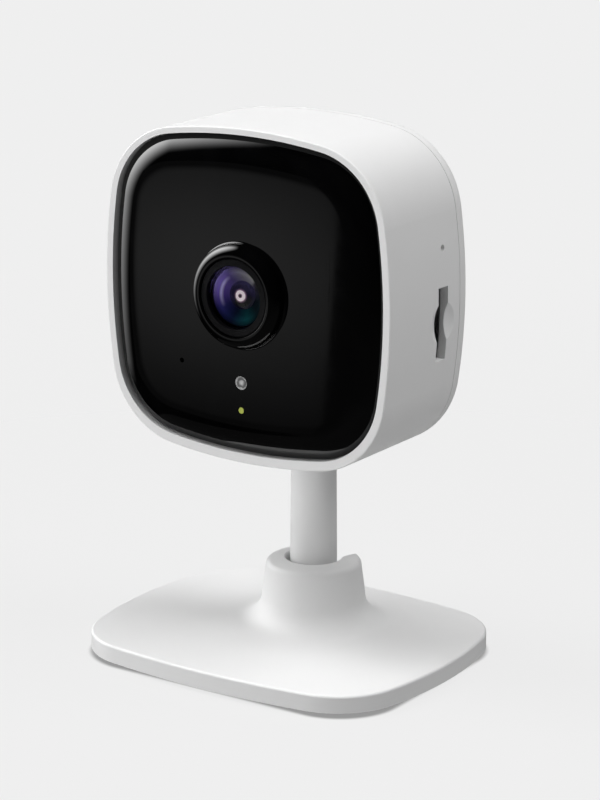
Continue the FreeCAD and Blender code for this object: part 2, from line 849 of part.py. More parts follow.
def friction_cup():
    """Acetal ring with a hollow seat, pressed up against the ball by the spring."""
    body = new_body("friction_cup", "0", "stem_y", "0")
    section = sketch(body, "cup_section", "XZ_Plane")
    hole_level = "ball_height - sqrt(seat_radius ^ 2 - cup_hole_radius ^ 2)"
    rim_rise = "(well_shoulder_drop + cup_gap)"
    profile(section, [
        ("cup_hole_radius", "cup_bottom"),
        ("well_radius - cup_gap", "cup_bottom"),
        ("well_radius - cup_gap", "well_top - cup_gap"),
        (f"sqrt(seat_radius ^ 2 - {rim_rise} ^ 2)", "well_top - cup_gap", "-seat_radius"),
        ("cup_hole_radius", hole_level),
    ])
    turned(body, section, "cup", "V_Axis")
    notch(body, "cup_notch")


def friction_ball():
    """The ball under the stem, bored for the stem's spigot."""
    sphere = doc.addObject("Part::Sphere", "ball_sphere")
    bind(sphere, Radius="ball_radius")
    place(sphere, "0", "stem_y", "ball_height")
    bore = rod("ball_bore", "Z", ("0", "stem_y"), "ball_bore_radius",
               ("ball_height - ball_bore_depth", "ball_height + 2 * ball_radius"), STAND)
    node(cut("friction_ball", sphere, bore), "friction_ball")


# ---------------------------------------------------------------- stem

def stem():
    """Tapered stem: a spigot in the ball, a hollow end over it and a tenon in the head."""
    body = new_body("stem", "0", "stem_y", "0")
    section = sketch(body, "stem_section", "XZ_Plane")
    profile(section, [
        ("0", "ball_height - ball_bore_depth + spigot_end_gap"),
        ("spigot_radius", "ball_height - ball_bore_depth + spigot_end_gap"),
        ("spigot_radius", "ball_height + sqrt(stem_end_radius ^ 2 - spigot_radius ^ 2)",
         "-stem_end_radius"),
        ("stem_foot_radius", "ball_height + sqrt(stem_end_radius ^ 2 - stem_foot_radius ^ 2)"),
        ("stem_top_radius", "head_bottom"),
        ("tenon_radius", "head_bottom"),
        ("tenon_radius", "tenon_top"),
        ("stem_screw_radius", "tenon_top"),
        ("stem_screw_radius", "tenon_top - stem_screw_depth"),
        ("0", "tenon_top - stem_screw_depth"),
    ])
    turned(body, section, "shaft", "V_Axis")


def stem_plate():
    """Steel strip inside the head, on top of the stem's tenon."""
    strip = block("stem_plate_strip", ("-stem_plate_half_width", "stem_plate_half_width"),
                  ("stem_y - stem_plate_front", "stem_y + stem_plate_back"),
                  ("tenon_top", "tenon_top + stem_plate_thick"), STAND)
    hole = rod("stem_plate_hole", "Z", ("0", "stem_y"), "stem_screw_radius",
               ("tenon_top - overcut", "tenon_top + stem_plate_thick + overcut"), STAND)
    node(cut("stem_plate", strip, hole), "stem_plate")


def stem_screw():
    top = "tenon_top + stem_plate_thick"
    screw_set("stem_screw", "Z", [("0", "stem_y")],
              ("stem_screw_head_radius", top, f"{top} + stem_screw_head_height"),
              ("stem_screw_radius", "tenon_top - stem_screw_depth", top), STAND)


# ---------------------------------------------------------------- head shells

def stem_hole(body, name):
    """Round hole for the tenon, up through the bottom wall."""
    drawing = sketch(body, f"{name}_place", "XY_Plane", "outline_bottom - overcut")
    circle(drawing, "0", "stem_from_middle", "tenon_radius + tenon_gap")
    pocket(body, drawing, name, "head_wall + 2 * overcut", backwards=True)


def side_housing():
    """White sleeve of the head: rim, panel seat, screw bosses, card slot and reset hole."""
    body = new_body("side_housing", "0", "head_y", HEAD)
    outline = sketch(body, "sleeve_outline", "XZ_Plane", "-seam_back")
    head_outline(outline)
    pad(body, outline, "sleeve", "rim_front + seam_back")
    seat = sketch(body, "seat_outline", "XZ_Plane", "rim_front")
    head_outline(seat, "panel_rim", "panel_drop")
    pocket(body, seat, "panel_seat", "panel_seat_depth")
    cavity = sketch(body, "cavity_outline", "XZ_Plane", "-seam_back")
    head_outline(cavity, "head_wall")
    pocket(body, cavity, "cavity", "seam_back + flange_back", backwards=True)
    window = sketch(body, "flange_outline", "XZ_Plane", "seat_front")
    head_outline(window, "flange_inset", "panel_drop")
    pocket(body, window, "flange_window", "flange_thick")
    bosses = sketch(body, "boss_places", "XZ_Plane", "-boss_back")
    for x, z in four("boss_offset", "boss_offset"):
        circle(bosses, x, z, "boss_radius")
    pad(body, bosses, "bosses", "boss_back + seat_front")
    pads = sketch(body, "led_pad_places", "XZ_Plane", "led_board_front")
    for x, z in four("led_screw_x", "led_screw_z"):
        circle(pads, x, z, "led_pad_radius")
    pad(body, pads, "led_pads", "flange_back - led_board_front")

    bores = sketch(body, "bore_places", "XZ_Plane", "seat_front")
    for x, z in four("boss_offset", "boss_offset"):
        circle(bores, x, z, "housing_screw_radius + housing_screw_clearance")
    pocket(body, bores, "bores", "seat_front + boss_back")
    sinks = sketch(body, "sink_places", "XZ_Plane", "seat_front")
    for x, z in four("boss_offset", "boss_offset"):
        circle(sinks, x, z, "housing_head_radius + housing_screw_clearance")
    pocket(body, sinks, "head_sinks", "housing_head_sink")
    led_bores = sketch(body, "led_bore_places", "XZ_Plane", "seat_front")
    for x, z in four("led_screw_x", "led_screw_z"):
        circle(led_bores, x, z, "board_screw_radius")
    pocket(body, led_bores, "led_bores", "seat_front - led_board_front")

    stem_hole(body, "stem_hole")
    slot = sketch(body, "slot_outline", "YZ_Plane", "side_inner - 2 * overcut")
    rectangle(slot, "slot_front", "slot_front + slot_width",
              "slot_centre - slot_length / 2", "slot_centre + slot_length / 2")
    circle(slot, "reset_hole_y", "reset_hole_z", "reset_hole_radius")
    pocket(body, slot, "card_slot", "head_wall + 3 * overcut", backwards=True)

    before = body.Shape.Volume
    scoop = body.newObject("PartDesign::SubtractiveSphere", "finger_scoop")
    ball = "((scoop_radius ^ 2 + scoop_depth ^ 2) / (2 * scoop_depth))"
    bind(scoop, Radius=ball)
    place(scoop, f"head_width / 2 - scoop_depth + {ball}", "slot_y", "slot_centre")
    changed(body, before, False, "finger_scoop")

    front = -number("rim_front")
    rounded(body, "rim_round", "rim_round",
            lambda edge: flat_at(edge, "Y", front) and outer_edge(edge))


def outer_edge(edge):
    """True for the pieces of the head's outer outline, not of an outline set in from it."""
    arc = edge.Curve
    radius = getattr(arc, "Radius", 0.0)
    wanted = (number("head_bulge"), number("head_corner"))
    return any(abs(radius - size) < 1e-4 for size in wanted)


def back_cover():
    """White cover that closes the back, with the grille, the power inlet and board posts."""
    body = new_body("back_cover", "0", "head_y", HEAD)
    outline = sketch(body, "cover_outline", "XZ_Plane", "-head_back")
    head_outline(outline)
    pad(body, outline, "cover", "head_back - cover_front")
    back = number("head_back")
    rounded(body, "back_round", "back_edge_round", lambda edge: flat_at(edge, "Y", back))
    cavity = sketch(body, "cover_cavity_outline", "XZ_Plane", "-cover_front")
    head_outline(cavity, "head_wall + lip_gap + lip_thick")
    pocket(body, cavity, "cavity", "cover_inner - cover_front")
    lip = sketch(body, "lip_outline", "XZ_Plane", "-cover_front")
    head_outline(lip, "head_wall + lip_gap")
    head_outline(lip, "head_wall + lip_gap + lip_thick")
    pad(body, lip, "lip", "lip_length")
    clear = sketch(body, "lip_cut_outline", "XZ_Plane", "-cover_inner")
    rectangle(clear, "-lip_cut_half_width", "lip_cut_half_width",
              "outline_bottom + head_wall + lip_gap", "outline_bottom + lip_cut_height")
    pocket(body, clear, "lip_cut", "cover_inner - cover_front + lip_length + overcut",
           backwards=True)
    bosses = sketch(body, "cover_boss_places", "XZ_Plane", "-cover_inner")
    for x, z in four("boss_offset", "boss_offset"):
        circle(bosses, x, z, "boss_radius")
    pad(body, bosses, "bosses", "cover_inner - boss_back - boss_gap")
    posts = sketch(body, "post_places", "XZ_Plane", "-cover_inner")
    for x, z in four("post_x", "post_z"):
        circle(posts, x, z, "post_radius")
    pad(body, posts, "posts", "cover_inner - main_board_back")
    bores = sketch(body, "cover_bore_places", "XZ_Plane", "-boss_back - boss_gap")
    for x, z in four("boss_offset", "boss_offset"):
        circle(bores, x, z, "housing_screw_radius")
    pocket(body, bores, "bores", "housing_screw_end - boss_back - boss_gap")
    post_bores = sketch(body, "post_bore_places", "XZ_Plane", "-main_board_back")
    for x, z in four("post_x", "post_z"):
        circle(post_bores, x, z, "board_screw_radius")
    pocket(body, post_bores, "post_bores", "board_screw_length")
    stem_hole(body, "stem_hole")
    inlet = sketch(body, "inlet_place", "XZ_Plane", "-cover_inner")
    circle(inlet, "0", "-inlet_drop", "inlet_radius")
    circle(inlet, "0", "speaker_lift", "grille_hole_radius")
    pocket(body, inlet, "inlet", "back_wall")
    for ring in (1, 2, 3):
        holes = sketch(body, f"grille_place_{ring}", "XZ_Plane", "-cover_inner", "speaker_lift")
        circle(holes, "0", f"{ring} * grille_pitch", "grille_hole_radius")
        hole = pocket(body, holes, f"grille_hole_{ring}", "back_wall")
        before = body.Shape.Volume
        pattern = body.newObject("PartDesign::PolarPattern", f"grille_ring_{ring}")
        pattern.Originals = [hole]
        pattern.Axis = (holes, ["N_Axis"])
        pattern.Angle = 360
        pattern.Occurrences = 6 * ring
        body.Tip = pattern
        changed(body, before, False, pattern.Name)


def housing_screws():
    """Four long screws from under the panel into the back cover."""
    head_end = "-(seat_front - housing_head_sink)"
    screw_set("housing_screws", "Y", four("boss_offset", "boss_offset"),
              ("housing_head_radius", f"{head_end} - housing_head_height", head_end),
              ("housing_screw_radius", head_end, "housing_screw_end"))


# ---------------------------------------------------------------- front panel

def front_panel():
    """Gloss black pillow-edged panel with the openings for lens, sensor, lamp and microphone."""
    body = new_body("front_panel", "0", "head_y", HEAD)
    outline = sketch(body, "panel_outline", "XZ_Plane", "panel_back")
    head_outline(outline, "panel_rim + panel_gap", "panel_drop")
    pad(body, outline, "panel", "panel_front - panel_back")
    front = -number("panel_front")
    rounded(body, "pillow_edge", "panel_edge_round", lambda edge: flat_at(edge, "Y", front))
    hollow = sketch(body, "hollow_outline", "XZ_Plane", "panel_back")
    head_outline(hollow, "panel_rim + panel_gap + panel_band", "panel_drop")
    pocket(body, hollow, "hollow", "panel_inner - panel_back", backwards=True)
    holes = sketch(body, "panel_hole_places", "XZ_Plane", "panel_front")
    circle(holes, "0", "0", "bezel_hole_radius")
    circle(holes, "0", "-light_window_drop", "light_window_radius")
    circle(holes, "0", "-status_drop", "status_radius")
    circle(holes, "-microphone_side", "-microphone_drop", "microphone_hole_radius")
    pocket(body, holes, "openings", "panel_wall")


def panel_tape():
    """Adhesive foam ring between the panel and its seat."""
    body = new_body("panel_tape", "0", "head_y", HEAD)
    ring = sketch(body, "tape_outline", "XZ_Plane", "seat_front")
    head_outline(ring, "panel_rim + tape_gap", "panel_drop")
    head_outline(ring, "panel_rim + panel_gap + panel_band", "panel_drop")
    pad(body, ring, "tape", "tape_thick")


def lens_section(body, name, corners):
    """Revolve a section given as (distance forwards along the lens axis, radius)."""
    drawing = sketch(body, f"{name}_section", "YZ_Plane")
    mirrored = {"+": "-", "-": "+"}
    profile(drawing, [(f"-({corner[0]})", corner[1]) if len(corner) == 2 else
                      (f"-({corner[0]})", corner[1], mirrored[corner[2][0]] + corner[2][1:])
                      for corner in corners])
    return turned(body, drawing, name, "H_Axis")


def lens_bezel():
    """Gloss black ring round the lens, flared where it meets the panel."""
    body = new_body("lens_bezel", "0", "head_y", HEAD)
    skirt = "bezel_hole_radius - bezel_hole_gap"
    bore = "barrel_radius + barrel_gap"
    lens_section(body, "bezel", [
        ("panel_front - bezel_skirt", bore),
        ("panel_front + bezel_lip_height", bore),
        ("panel_front + bezel_lip_height", "bezel_lip_radius", "-bezel_shoulder"),
        ("panel_front + bezel_wall_height", "bezel_wall_radius"),
        ("panel_front + bezel_flare_height", "bezel_wall_radius", "+bezel_flare_height"),
        ("panel_front", "bezel_flare_radius"),
        ("panel_front", skirt),
        ("panel_front - bezel_skirt", skirt),
    ])


# ---------------------------------------------------------------- lens and sensor

def lens_barrel():
    """Matt black lens barrel: wide head with a seat for the front glass, thread behind."""
    body = new_body("lens_barrel", "0", "head_y", HEAD)
    lens_section(body, "barrel", [
        ("barrel_front", "glass_radius + glass_fit"),
        ("barrel_front", "barrel_radius - barrel_chamfer"),
        ("barrel_front - barrel_chamfer", "barrel_radius"),
        ("barrel_front - barrel_head_length", "barrel_radius"),
        ("barrel_front - barrel_head_length", "thread_radius"),
        ("barrel_back", "thread_radius"),
        ("barrel_back", "rear_glass_radius - rear_glass_ledge"),
        ("rear_seat_front", "rear_glass_radius - rear_glass_ledge"),
        ("rear_seat_front", "rear_glass_radius + glass_fit"),
        ("baffle_back - lens_part_gap", "rear_glass_radius + glass_fit"),
        ("baffle_back - lens_part_gap", "glass_radius - front_glass_ledge"),
        ("glass_back - lens_part_gap", "glass_radius - front_glass_ledge"),
        ("glass_back - lens_part_gap", "glass_radius + glass_fit"),
    ])


def lens_front_glass():
    """Domed front element."""
    body = new_body("lens_front_glass", "0", "head_y", HEAD)
    front = "((glass_radius ^ 2 + glass_sag ^ 2) / (2 * glass_sag))"
    back = "((glass_radius ^ 2 + glass_back_sag ^ 2) / (2 * glass_back_sag))"
    lens_section(body, "front_glass", [
        ("glass_back + glass_back_sag", "0", f"-{back}"),
        ("glass_back", "glass_radius"),
        ("glass_back + glass_edge", "glass_radius", f"+{front}"),
        ("glass_back + glass_edge + glass_sag", "0"),
    ])


def lens_baffle():
    """Black cone behind the front glass that narrows to the aperture."""
    body = new_body("lens_baffle", "0", "head_y", HEAD)
    mouth = "(glass_radius - front_glass_ledge - lens_part_gap)"
    lens_section(body, "baffle", [
        ("glass_back - baffle_front_gap", mouth),
        ("baffle_back", mouth),
        ("baffle_back", "baffle_radius"),
        ("baffle_back + baffle_wall", "baffle_radius"),
        ("glass_back - baffle_front_gap", f"{mouth} - baffle_wall"),
    ])


def lens_middle_glass():
    """Small domed element in the narrow end of the cone."""
    body = new_body("lens_middle_glass", "0", "head_y", HEAD)
    edge = "(baffle_radius - glass_fit)"
    bow = f"(({edge} ^ 2 + middle_glass_sag ^ 2) / (2 * middle_glass_sag))"
    lens_section(body, "middle_glass", [
        ("baffle_back", "0"),
        ("baffle_back", edge),
        ("baffle_back + baffle_wall", edge, f"+{bow}"),
        ("baffle_back + baffle_wall + middle_glass_sag", "0"),
    ])


def lens_rear_glass():
    """Rear lens element in the narrow end of the barrel."""
    body = new_body("lens_rear_glass", "0", "head_y", HEAD)
    bow = "((rear_glass_radius ^ 2 + rear_glass_sag ^ 2) / (2 * rear_glass_sag))"
    lens_section(body, "rear_glass", [
        ("rear_seat_front", "0"),
        ("rear_seat_front", "rear_glass_radius"),
        ("rear_seat_front + rear_glass_thick", "rear_glass_radius", f"+{bow}"),
        ("rear_seat_front + rear_glass_thick + rear_glass_sag", "0"),
    ])


def lens_holder():
    """Holder on the sensor board: threaded tube, filter channel and sensor recess."""
    base = block("holder_base", ("-holder_half_width", "holder_half_width"),
                 ("-holder_front", "-sensor_board_front"),
                 ("-holder_half_height", "holder_half_height"))
    tube = rod("holder_tube", "Y", ("0", "0"), "holder_tube_radius",
               ("-holder_front - holder_tube_length", "-holder_front + holder_thread_sink"))
    thread = rod("holder_thread", "Y", ("0", "0"), "thread_radius + thread_fit",
                 ("-holder_front - holder_tube_length - overcut",
                  "-holder_front + holder_thread_sink"))
    bore = rod("holder_bore", "Y", ("0", "0"), "holder_bore_radius",
               ("-holder_front - overcut", "-sensor_board_front + overcut"))
    reach = "(filter_frame_length / 2 + filter_travel / 2 + filter_gap)"
    channel = block("holder_channel", (f"-{reach}", reach),
                    ("-filter_back - filter_frame_thick - filter_gap",
                     "-filter_back + filter_gap"),
                    ("-filter_frame_height / 2 - filter_gap",
                     "filter_frame_height / 2 + filter_gap"))
    recess = block("holder_recess",
                   ("-sensor_width / 2 - sensor_gap", "sensor_width / 2 + sensor_gap"),
                   ("-sensor_board_front - sensor_thick - sensor_gap",
                    "-sensor_board_front + overcut"),
                   ("-sensor_height / 2 - sensor_gap", "sensor_height / 2 + sensor_gap"))
    whole = joined("holder_whole", base, tube)
    node(cut("lens_holder", whole, thread, bore, channel, recess), "lens_holder")


def filter_frame():
    """Sliding frame with two windows: the infrared filter for day, clear glass for night."""
    ys = ("-filter_back - filter_frame_thick", "-filter_back")
    middle = "filter_travel / 2"
    frame = block("filter_plate",
                  (f"{middle} - filter_frame_length / 2", f"{middle} + filter_frame_length / 2"),
                  ys, ("-filter_frame_height / 2", "filter_frame_height / 2"))
    windows = []
    for name, centre in (("day_window", "0"), ("night_window", "filter_travel")):
        windows.append(block(name, (f"{centre} - filter_window / 2", f"{centre} + filter_window / 2"),
                             (f"{ys[0]} - overcut", f"{ys[1]} + overcut"),
                             ("-filter_window / 2", "filter_window / 2")))
    node(cut("filter_frame", frame, *windows), "filter_frame")
    for name, centre in (("day_filter_glass", "0"), ("night_filter_glass", "filter_travel")):
        pane = block(name, (f"{centre} - filter_window / 2", f"{centre} + filter_window / 2"),
                     (f"{ys[0]} + filter_gap", f"{ys[1]} - filter_gap"),
                     ("-filter_window / 2", "filter_window / 2"))
        node(pane, name)


def filter_coil():
    """Coil that drives the filter frame, below the holder."""
    node(block("filter_coil", ("-coil_half_width", "coil_half_width"),
               ("-holder_front + coil_inset", "-sensor_board_front"),
               ("-holder_half_height - coil_height", "-holder_half_height")), "filter_coil")


def image_sensor():
    node(block("image_sensor", ("-sensor_width / 2", "sensor_width / 2"),
               ("-sensor_board_front - sensor_thick", "-sensor_board_front"),
               ("-sensor_height / 2", "sensor_height / 2")), "image_sensor")


def sensor_board():
    board = block("sensor_board_plate", ("-sensor_board_half", "sensor_board_half"),
                  ("-sensor_board_front", "-sensor_board_front + sensor_board_thick"),
                  ("-sensor_board_half", "sensor_board_half"))
    holes = [rod(f"sensor_board_hole_{index}", "Y", at, "board_screw_radius",
                 ("-sensor_board_front - overcut", "-sensor_board_front + sensor_board_thick + overcut"))
             for index, at in enumerate(four("spacer_offset", "spacer_offset"), 1)]
    node(cut("sensor_board", board, *holes), "sensor_board")


def sensor_board_screws():
    screw_set("sensor_board_screws", "Y", four("spacer_offset", "spacer_offset"),
              ("board_head_radius", "-sensor_board_front - board_head_height",
               "-sensor_board_front"),
              ("board_screw_radius", "-sensor_board_front",
               "-sensor_board_front + board_screw_length"))


def board_spacers():
    """Four brass pillars between the sensor board and the main board."""
    low = "-sensor_board_front + sensor_board_thick"
    pillars = []
    for index, at in enumerate(four("spacer_offset", "spacer_offset"), 1):
        pillar = rod(f"spacer_body_{index}", "Y", at, "spacer_radius", (low, "main_board_y"))
        bore = rod(f"spacer_bore_{index}", "Y", at, "board_screw_radius",
                   (f"{low} - overcut", "-sensor_board_front + board_screw_length + screw_end_gap"))
        pillars.append(cut(f"spacer_{index}", pillar, bore))
    group("board_spacers", pillars)


# ---------------------------------------------------------------- main board

def main_board():
    board = block("main_board_plate", ("-main_board_left", "main_board_right"),
                  ("main_board_y", "main_board_back"),
                  ("-main_board_half_height", "main_board_half_height"))
    holes = [rod(f"main_board_hole_{index}", "Y", at, "board_screw_radius",
                 ("main_board_y - overcut", "main_board_back + overcut"))
             for index, at in enumerate(four("post_x", "post_z"), 1)]
    node(cut("main_board", board, *holes), "main_board")


def main_board_screws():
    screw_set("main_board_screws", "Y", four("post_x", "post_z"),
              ("board_head_radius", "main_board_y - board_head_height", "main_board_y"),
              ("board_screw_radius", "main_board_y", "main_board_y + board_screw_length"))


def shield_can():
    """Tinned steel can over the processor, open towards the board."""
    xs = ("-shield_left", "-shield_left + shield_width")
    zs = ("-shield_half_height", "shield_half_height")
    outside = block("shield_outside", xs, ("main_board_y - shield_height", "main_board_y"), zs)
    inside = block("shield_inside", (f"{xs[0]} + shield_sheet", f"{xs[1]} - shield_sheet"),
                   ("main_board_y - shield_height + shield_sheet", "main_board_y + overcut"),
                   (f"{zs[0]} + shield_sheet", f"{zs[1]} - shield_sheet"))
    node(cut("shield_can", outside, inside), "shield_can")


def processor():
    middle = "-shield_left + shield_width / 2"
    node(block("processor", (f"{middle} - chip_half", f"{middle} + chip_half"),
               ("main_board_y - chip_height", "main_board_y"),
               ("-chip_half", "chip_half")), "processor")


def card_socket():
    """Metal-shelled memory card socket, its mouth behind the slot in the side wall."""
    half = "(card_thick / 2 + socket_wall)"
    ys = (f"slot_y - {half}", f"slot_y + {half}")
    zs = ("slot_centre - card_width / 2 - socket_wall", "slot_centre + card_width / 2 + socket_wall")
    shell = block("socket_shell", ("socket_inner_end", "socket_mouth"), ys, zs)
    mouth = block("socket_space", ("socket_inner_end + socket_wall", "socket_mouth + overcut"),
                  ("slot_y - card_thick / 2", "slot_y + card_thick / 2"),
                  ("slot_centre - card_width / 2", "slot_centre + card_width / 2"))
    node(cut("card_socket", shell, mouth), "card_socket")


def card_slider():
    """Push-push slider at the inner end of the socket, driven in by the card."""
    start = "socket_inner_end + socket_wall + slider_gap + slider_travel"
    node(block("card_slider", (start, f"{start} + slider_length"),
               ("slot_y - card_thick / 2 + slider_gap", "slot_y + card_thick / 2 - slider_gap"),
               ("slot_centre - card_width / 2 + slider_gap",
                "slot_centre + card_width / 2 - slider_gap")), "card_slider")


def reset_switch():
    case = block("switch_case", ("switch_right - switch_length", "switch_right"),
                 ("reset_hole_y - switch_front", "main_board_y"),
                 ("reset_hole_z - switch_half_height", "reset_hole_z + switch_half_height"))
    bore = rod("switch_bore", "X", ("reset_hole_y", "reset_hole_z"),
               "button_shaft_radius + button_gap",
               ("switch_right - button_shaft_length - button_travel", "switch_right + overcut"))
    node(cut("reset_switch", case, bore), "reset_switch")


def reset_button():
    """Plunger of the reset switch, pressed with a pin through the hole in the side wall."""
    start = "switch_right + button_travel + button_gap"
    cap = rod("button_cap", "X", ("reset_hole_y", "reset_hole_z"), "button_cap_radius",
              (start, f"{start} + button_cap_length"))
    shaft = rod("button_shaft", "X", ("reset_hole_y", "reset_hole_z"), "button_shaft_radius",
                (f"{start} - button_shaft_length", start))
    node(joined("reset_button", cap, shaft), "reset_button")


def power_jack():
    """Round power inlet on the main board, its bore facing back."""
    case = block("jack_case", ("-jack_half_width", "jack_half_width"),
                 ("main_board_back", "cover_inner - jack_gap"),
                 ("-inlet_drop - jack_half_height", "-inlet_drop + jack_half_height"))
    bore = rod("jack_bore", "Y", ("0", "-inlet_drop"), "jack_bore_radius",
               ("cover_inner - jack_bore_depth", "cover_inner + overcut"))
    pin_rod = rod("jack_pin", "Y", ("0", "-inlet_drop"), "jack_pin_radius",
                  ("cover_inner - jack_bore_depth - jack_gap", "cover_inner - jack_pin_sink"))
    node(joined("power_jack", cut("jack_shell", case, bore), pin_rod), "power_jack")


def speaker():
    node(rod("speaker", "Y", ("0", "speaker_lift"), "speaker_radius",
             ("speaker_back - speaker_depth", "speaker_back")), "speaker")


def speaker_gasket():
    """Foam ring between the speaker and the back cover."""
    outer = rod("gasket_outer", "Y", ("0", "speaker_lift"), "speaker_radius",
                ("speaker_back", "cover_inner"))
    inner = rod("gasket_inner", "Y", ("0", "speaker_lift"), "speaker_radius - speaker_rim",
                ("speaker_back - overcut", "cover_inner + overcut"))
    node(cut("speaker_gasket", outer, inner), "speaker_gasket")


def board_connector():
    node(block("board_connector", ("-connector_half_width", "connector_half_width"),
               ("-sensor_board_front + sensor_board_thick", "main_board_y"),
               ("connector_low", "connector_low + connector_thick")), "board_connector")


def ribbon_cable():
    """Flat flexible lead from the light board to the main board."""
    node(block("ribbon_cable", ("-ribbon_half_width", "ribbon_half_width"),
               ("-led_board_back", "main_board_y"),
               ("ribbon_lift", "ribbon_lift + ribbon_thick")), "ribbon_cable")


def wifi_antenna():
    """Printed aerial strip along the left-hand wall."""
    outer = "-side_inner + antenna_gap"
    node(block("wifi_antenna", (outer, f"{outer} + antenna_thick"),
               ("-antenna_width / 2", "antenna_width / 2"),
               ("-antenna_half_length", "antenna_half_length")), "wifi_antenna")


# ---------------------------------------------------------------- light board

def led_board():
    """Board behind the panel that carries the lamps, light sensor and microphone."""
    ys = ("-led_board_front", "-led_board_back")
    board = block("led_board_plate", ("-led_board_half_width", "led_board_half_width"), ys,
                  ("-led_board_half_height", "led_board_half_height"))
    lens = rod("led_board_lens_hole", "Y", ("0", "0"), "led_board_lens_hole",
               (f"{ys[0]} - overcut", f"{ys[1]} + overcut"))
    holes = [rod(f"led_board_hole_{index}", "Y", at, "board_screw_radius",
                 (f"{ys[0]} - overcut", f"{ys[1]} + overcut"))
             for index, at in enumerate(four("led_screw_x", "led_screw_z"), 1)]
    node(cut("led_board", board, lens, *holes), "led_board")


def led_board_screws():
    screw_set("led_board_screws", "Y", four("led_screw_x", "led_screw_z"),
              ("board_head_radius", "-led_board_back", "-led_board_back + board_head_height"),
              ("board_screw_radius", "-seat_front + screw_end_gap", "-led_board_back"))


def ir_leds():
    """Six infrared lamps round the upper part of the lens."""
    lamps = []
    for index, angle in enumerate((-30, 0, 30, 150, 180, 210), 1):
        x = f"ir_led_radius * cos({angle} deg)"
        z = f"ir_led_radius * sin({angle} deg)"
        lamps.append(block(f"ir_led_{index}", (f"{x} - ir_led_half", f"{x} + ir_led_half"),
                           ("-led_board_front - ir_led_height", "-led_board_front"),
                           (f"{z} - ir_led_half", f"{z} + ir_led_half")))
    group("ir_leds", lamps)


def microphone():
    node(block("microphone", ("-microphone_side - microphone_half",
                              "-microphone_side + microphone_half"),
               ("-led_board_front - microphone_height", "-led_board_front"),
               ("-microphone_drop - microphone_half",
                "-microphone_drop + microphone_half")), "microphone")


def microphone_boot():
    """Rubber tube that leads sound from the panel's pinhole to the microphone."""
    at = ("-microphone_side", "-microphone_drop")
    reach = ("-panel_inner", "-led_board_front - microphone_height")
    tube = rod("boot_tube", "Y", at, "boot_radius", reach)
    bore = rod("boot_bore", "Y", at, "microphone_hole_radius",
               (f"{reach[0]} - overcut", f"{reach[1]} + overcut"))
    node(cut("microphone_boot", tube, bore), "microphone_boot")


def light_sensor():
    node(block("light_sensor", ("-light_sensor_half", "light_sensor_half"),
               ("-led_board_front - light_sensor_height", "-led_board_front"),
               ("-light_window_drop - light_sensor_half",
                "-light_window_drop + light_sensor_half")), "light_sensor")


def status_led():
    node(block("status_led", ("-light_sensor_half", "light_sensor_half"),
               ("-led_board_front - light_sensor_height", "-led_board_front"),
               ("-status_drop - light_sensor_half", "-status_drop + light_sensor_half")),
         "status_led")


def panel_window(name, drop, radius, back):
    """Clear rod in a hole of the panel, with a flange behind it, reaching back to a board part."""
    at = ("0", f"-({drop})")
    front = rod(f"{name}_front", "Y", at, f"{radius} - window_fit",
                ("-panel_front + window_sink", f"-({back})"))
    flange = rod(f"{name}_flange", "Y", at, f"{radius} + window_flange",
                 ("-panel_inner", "-panel_inner + window_flange_thick"))
    node(joined(name, front, flange), name)


def sensor_window():
    panel_window("sensor_window", "light_window_drop", "light_window_radius",
                 "led_board_front + light_sensor_height + window_gap")


def light_pipe():
    panel_window("light_pipe", "status_drop", "status_radius",
                 "led_board_front + light_sensor_height + window_gap")


for make in (base_shell, base_plate, foot_pad, ballast_plate, clamp_plate, clamp_screws,
             clamp_spring, friction_cup, friction_ball, stem, stem_plate, stem_screw,
             side_housing, back_cover, housing_screws, front_panel, panel_tape, lens_bezel,
             lens_barrel, lens_front_glass, lens_baffle, lens_middle_glass, lens_rear_glass,
             lens_holder,
             filter_frame, filter_coil, image_sensor, sensor_board, sensor_board_screws,
             board_spacers, main_board, main_board_screws, shield_can, processor, card_socket,
             card_slider, reset_switch, reset_button, power_jack, speaker, speaker_gasket,
             board_connector, ribbon_cable, wifi_antenna, led_board, led_board_screws, ir_leds,
             microphone, microphone_boot, light_sensor, status_led, sensor_window, light_pipe):
    make()

doc.recompute()

for item in doc.Objects:
    if "Invalid" in item.State or "Error" in item.State:
        raise RuntimeError(f"{item.Name} is {item.State}")
for item in nodes:
    if item.Shape.isNull() or not item.Shape.isValid() or not item.Shape.Solids:
        raise RuntimeError(f"{item.Label} has no valid solid")

os.makedirs("parts", exist_ok=True)
for item in nodes:
    item.Shape.exportStep(f"parts/{item.Label}.step")
print(f"{len(nodes)} pieces")
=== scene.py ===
import json
import math

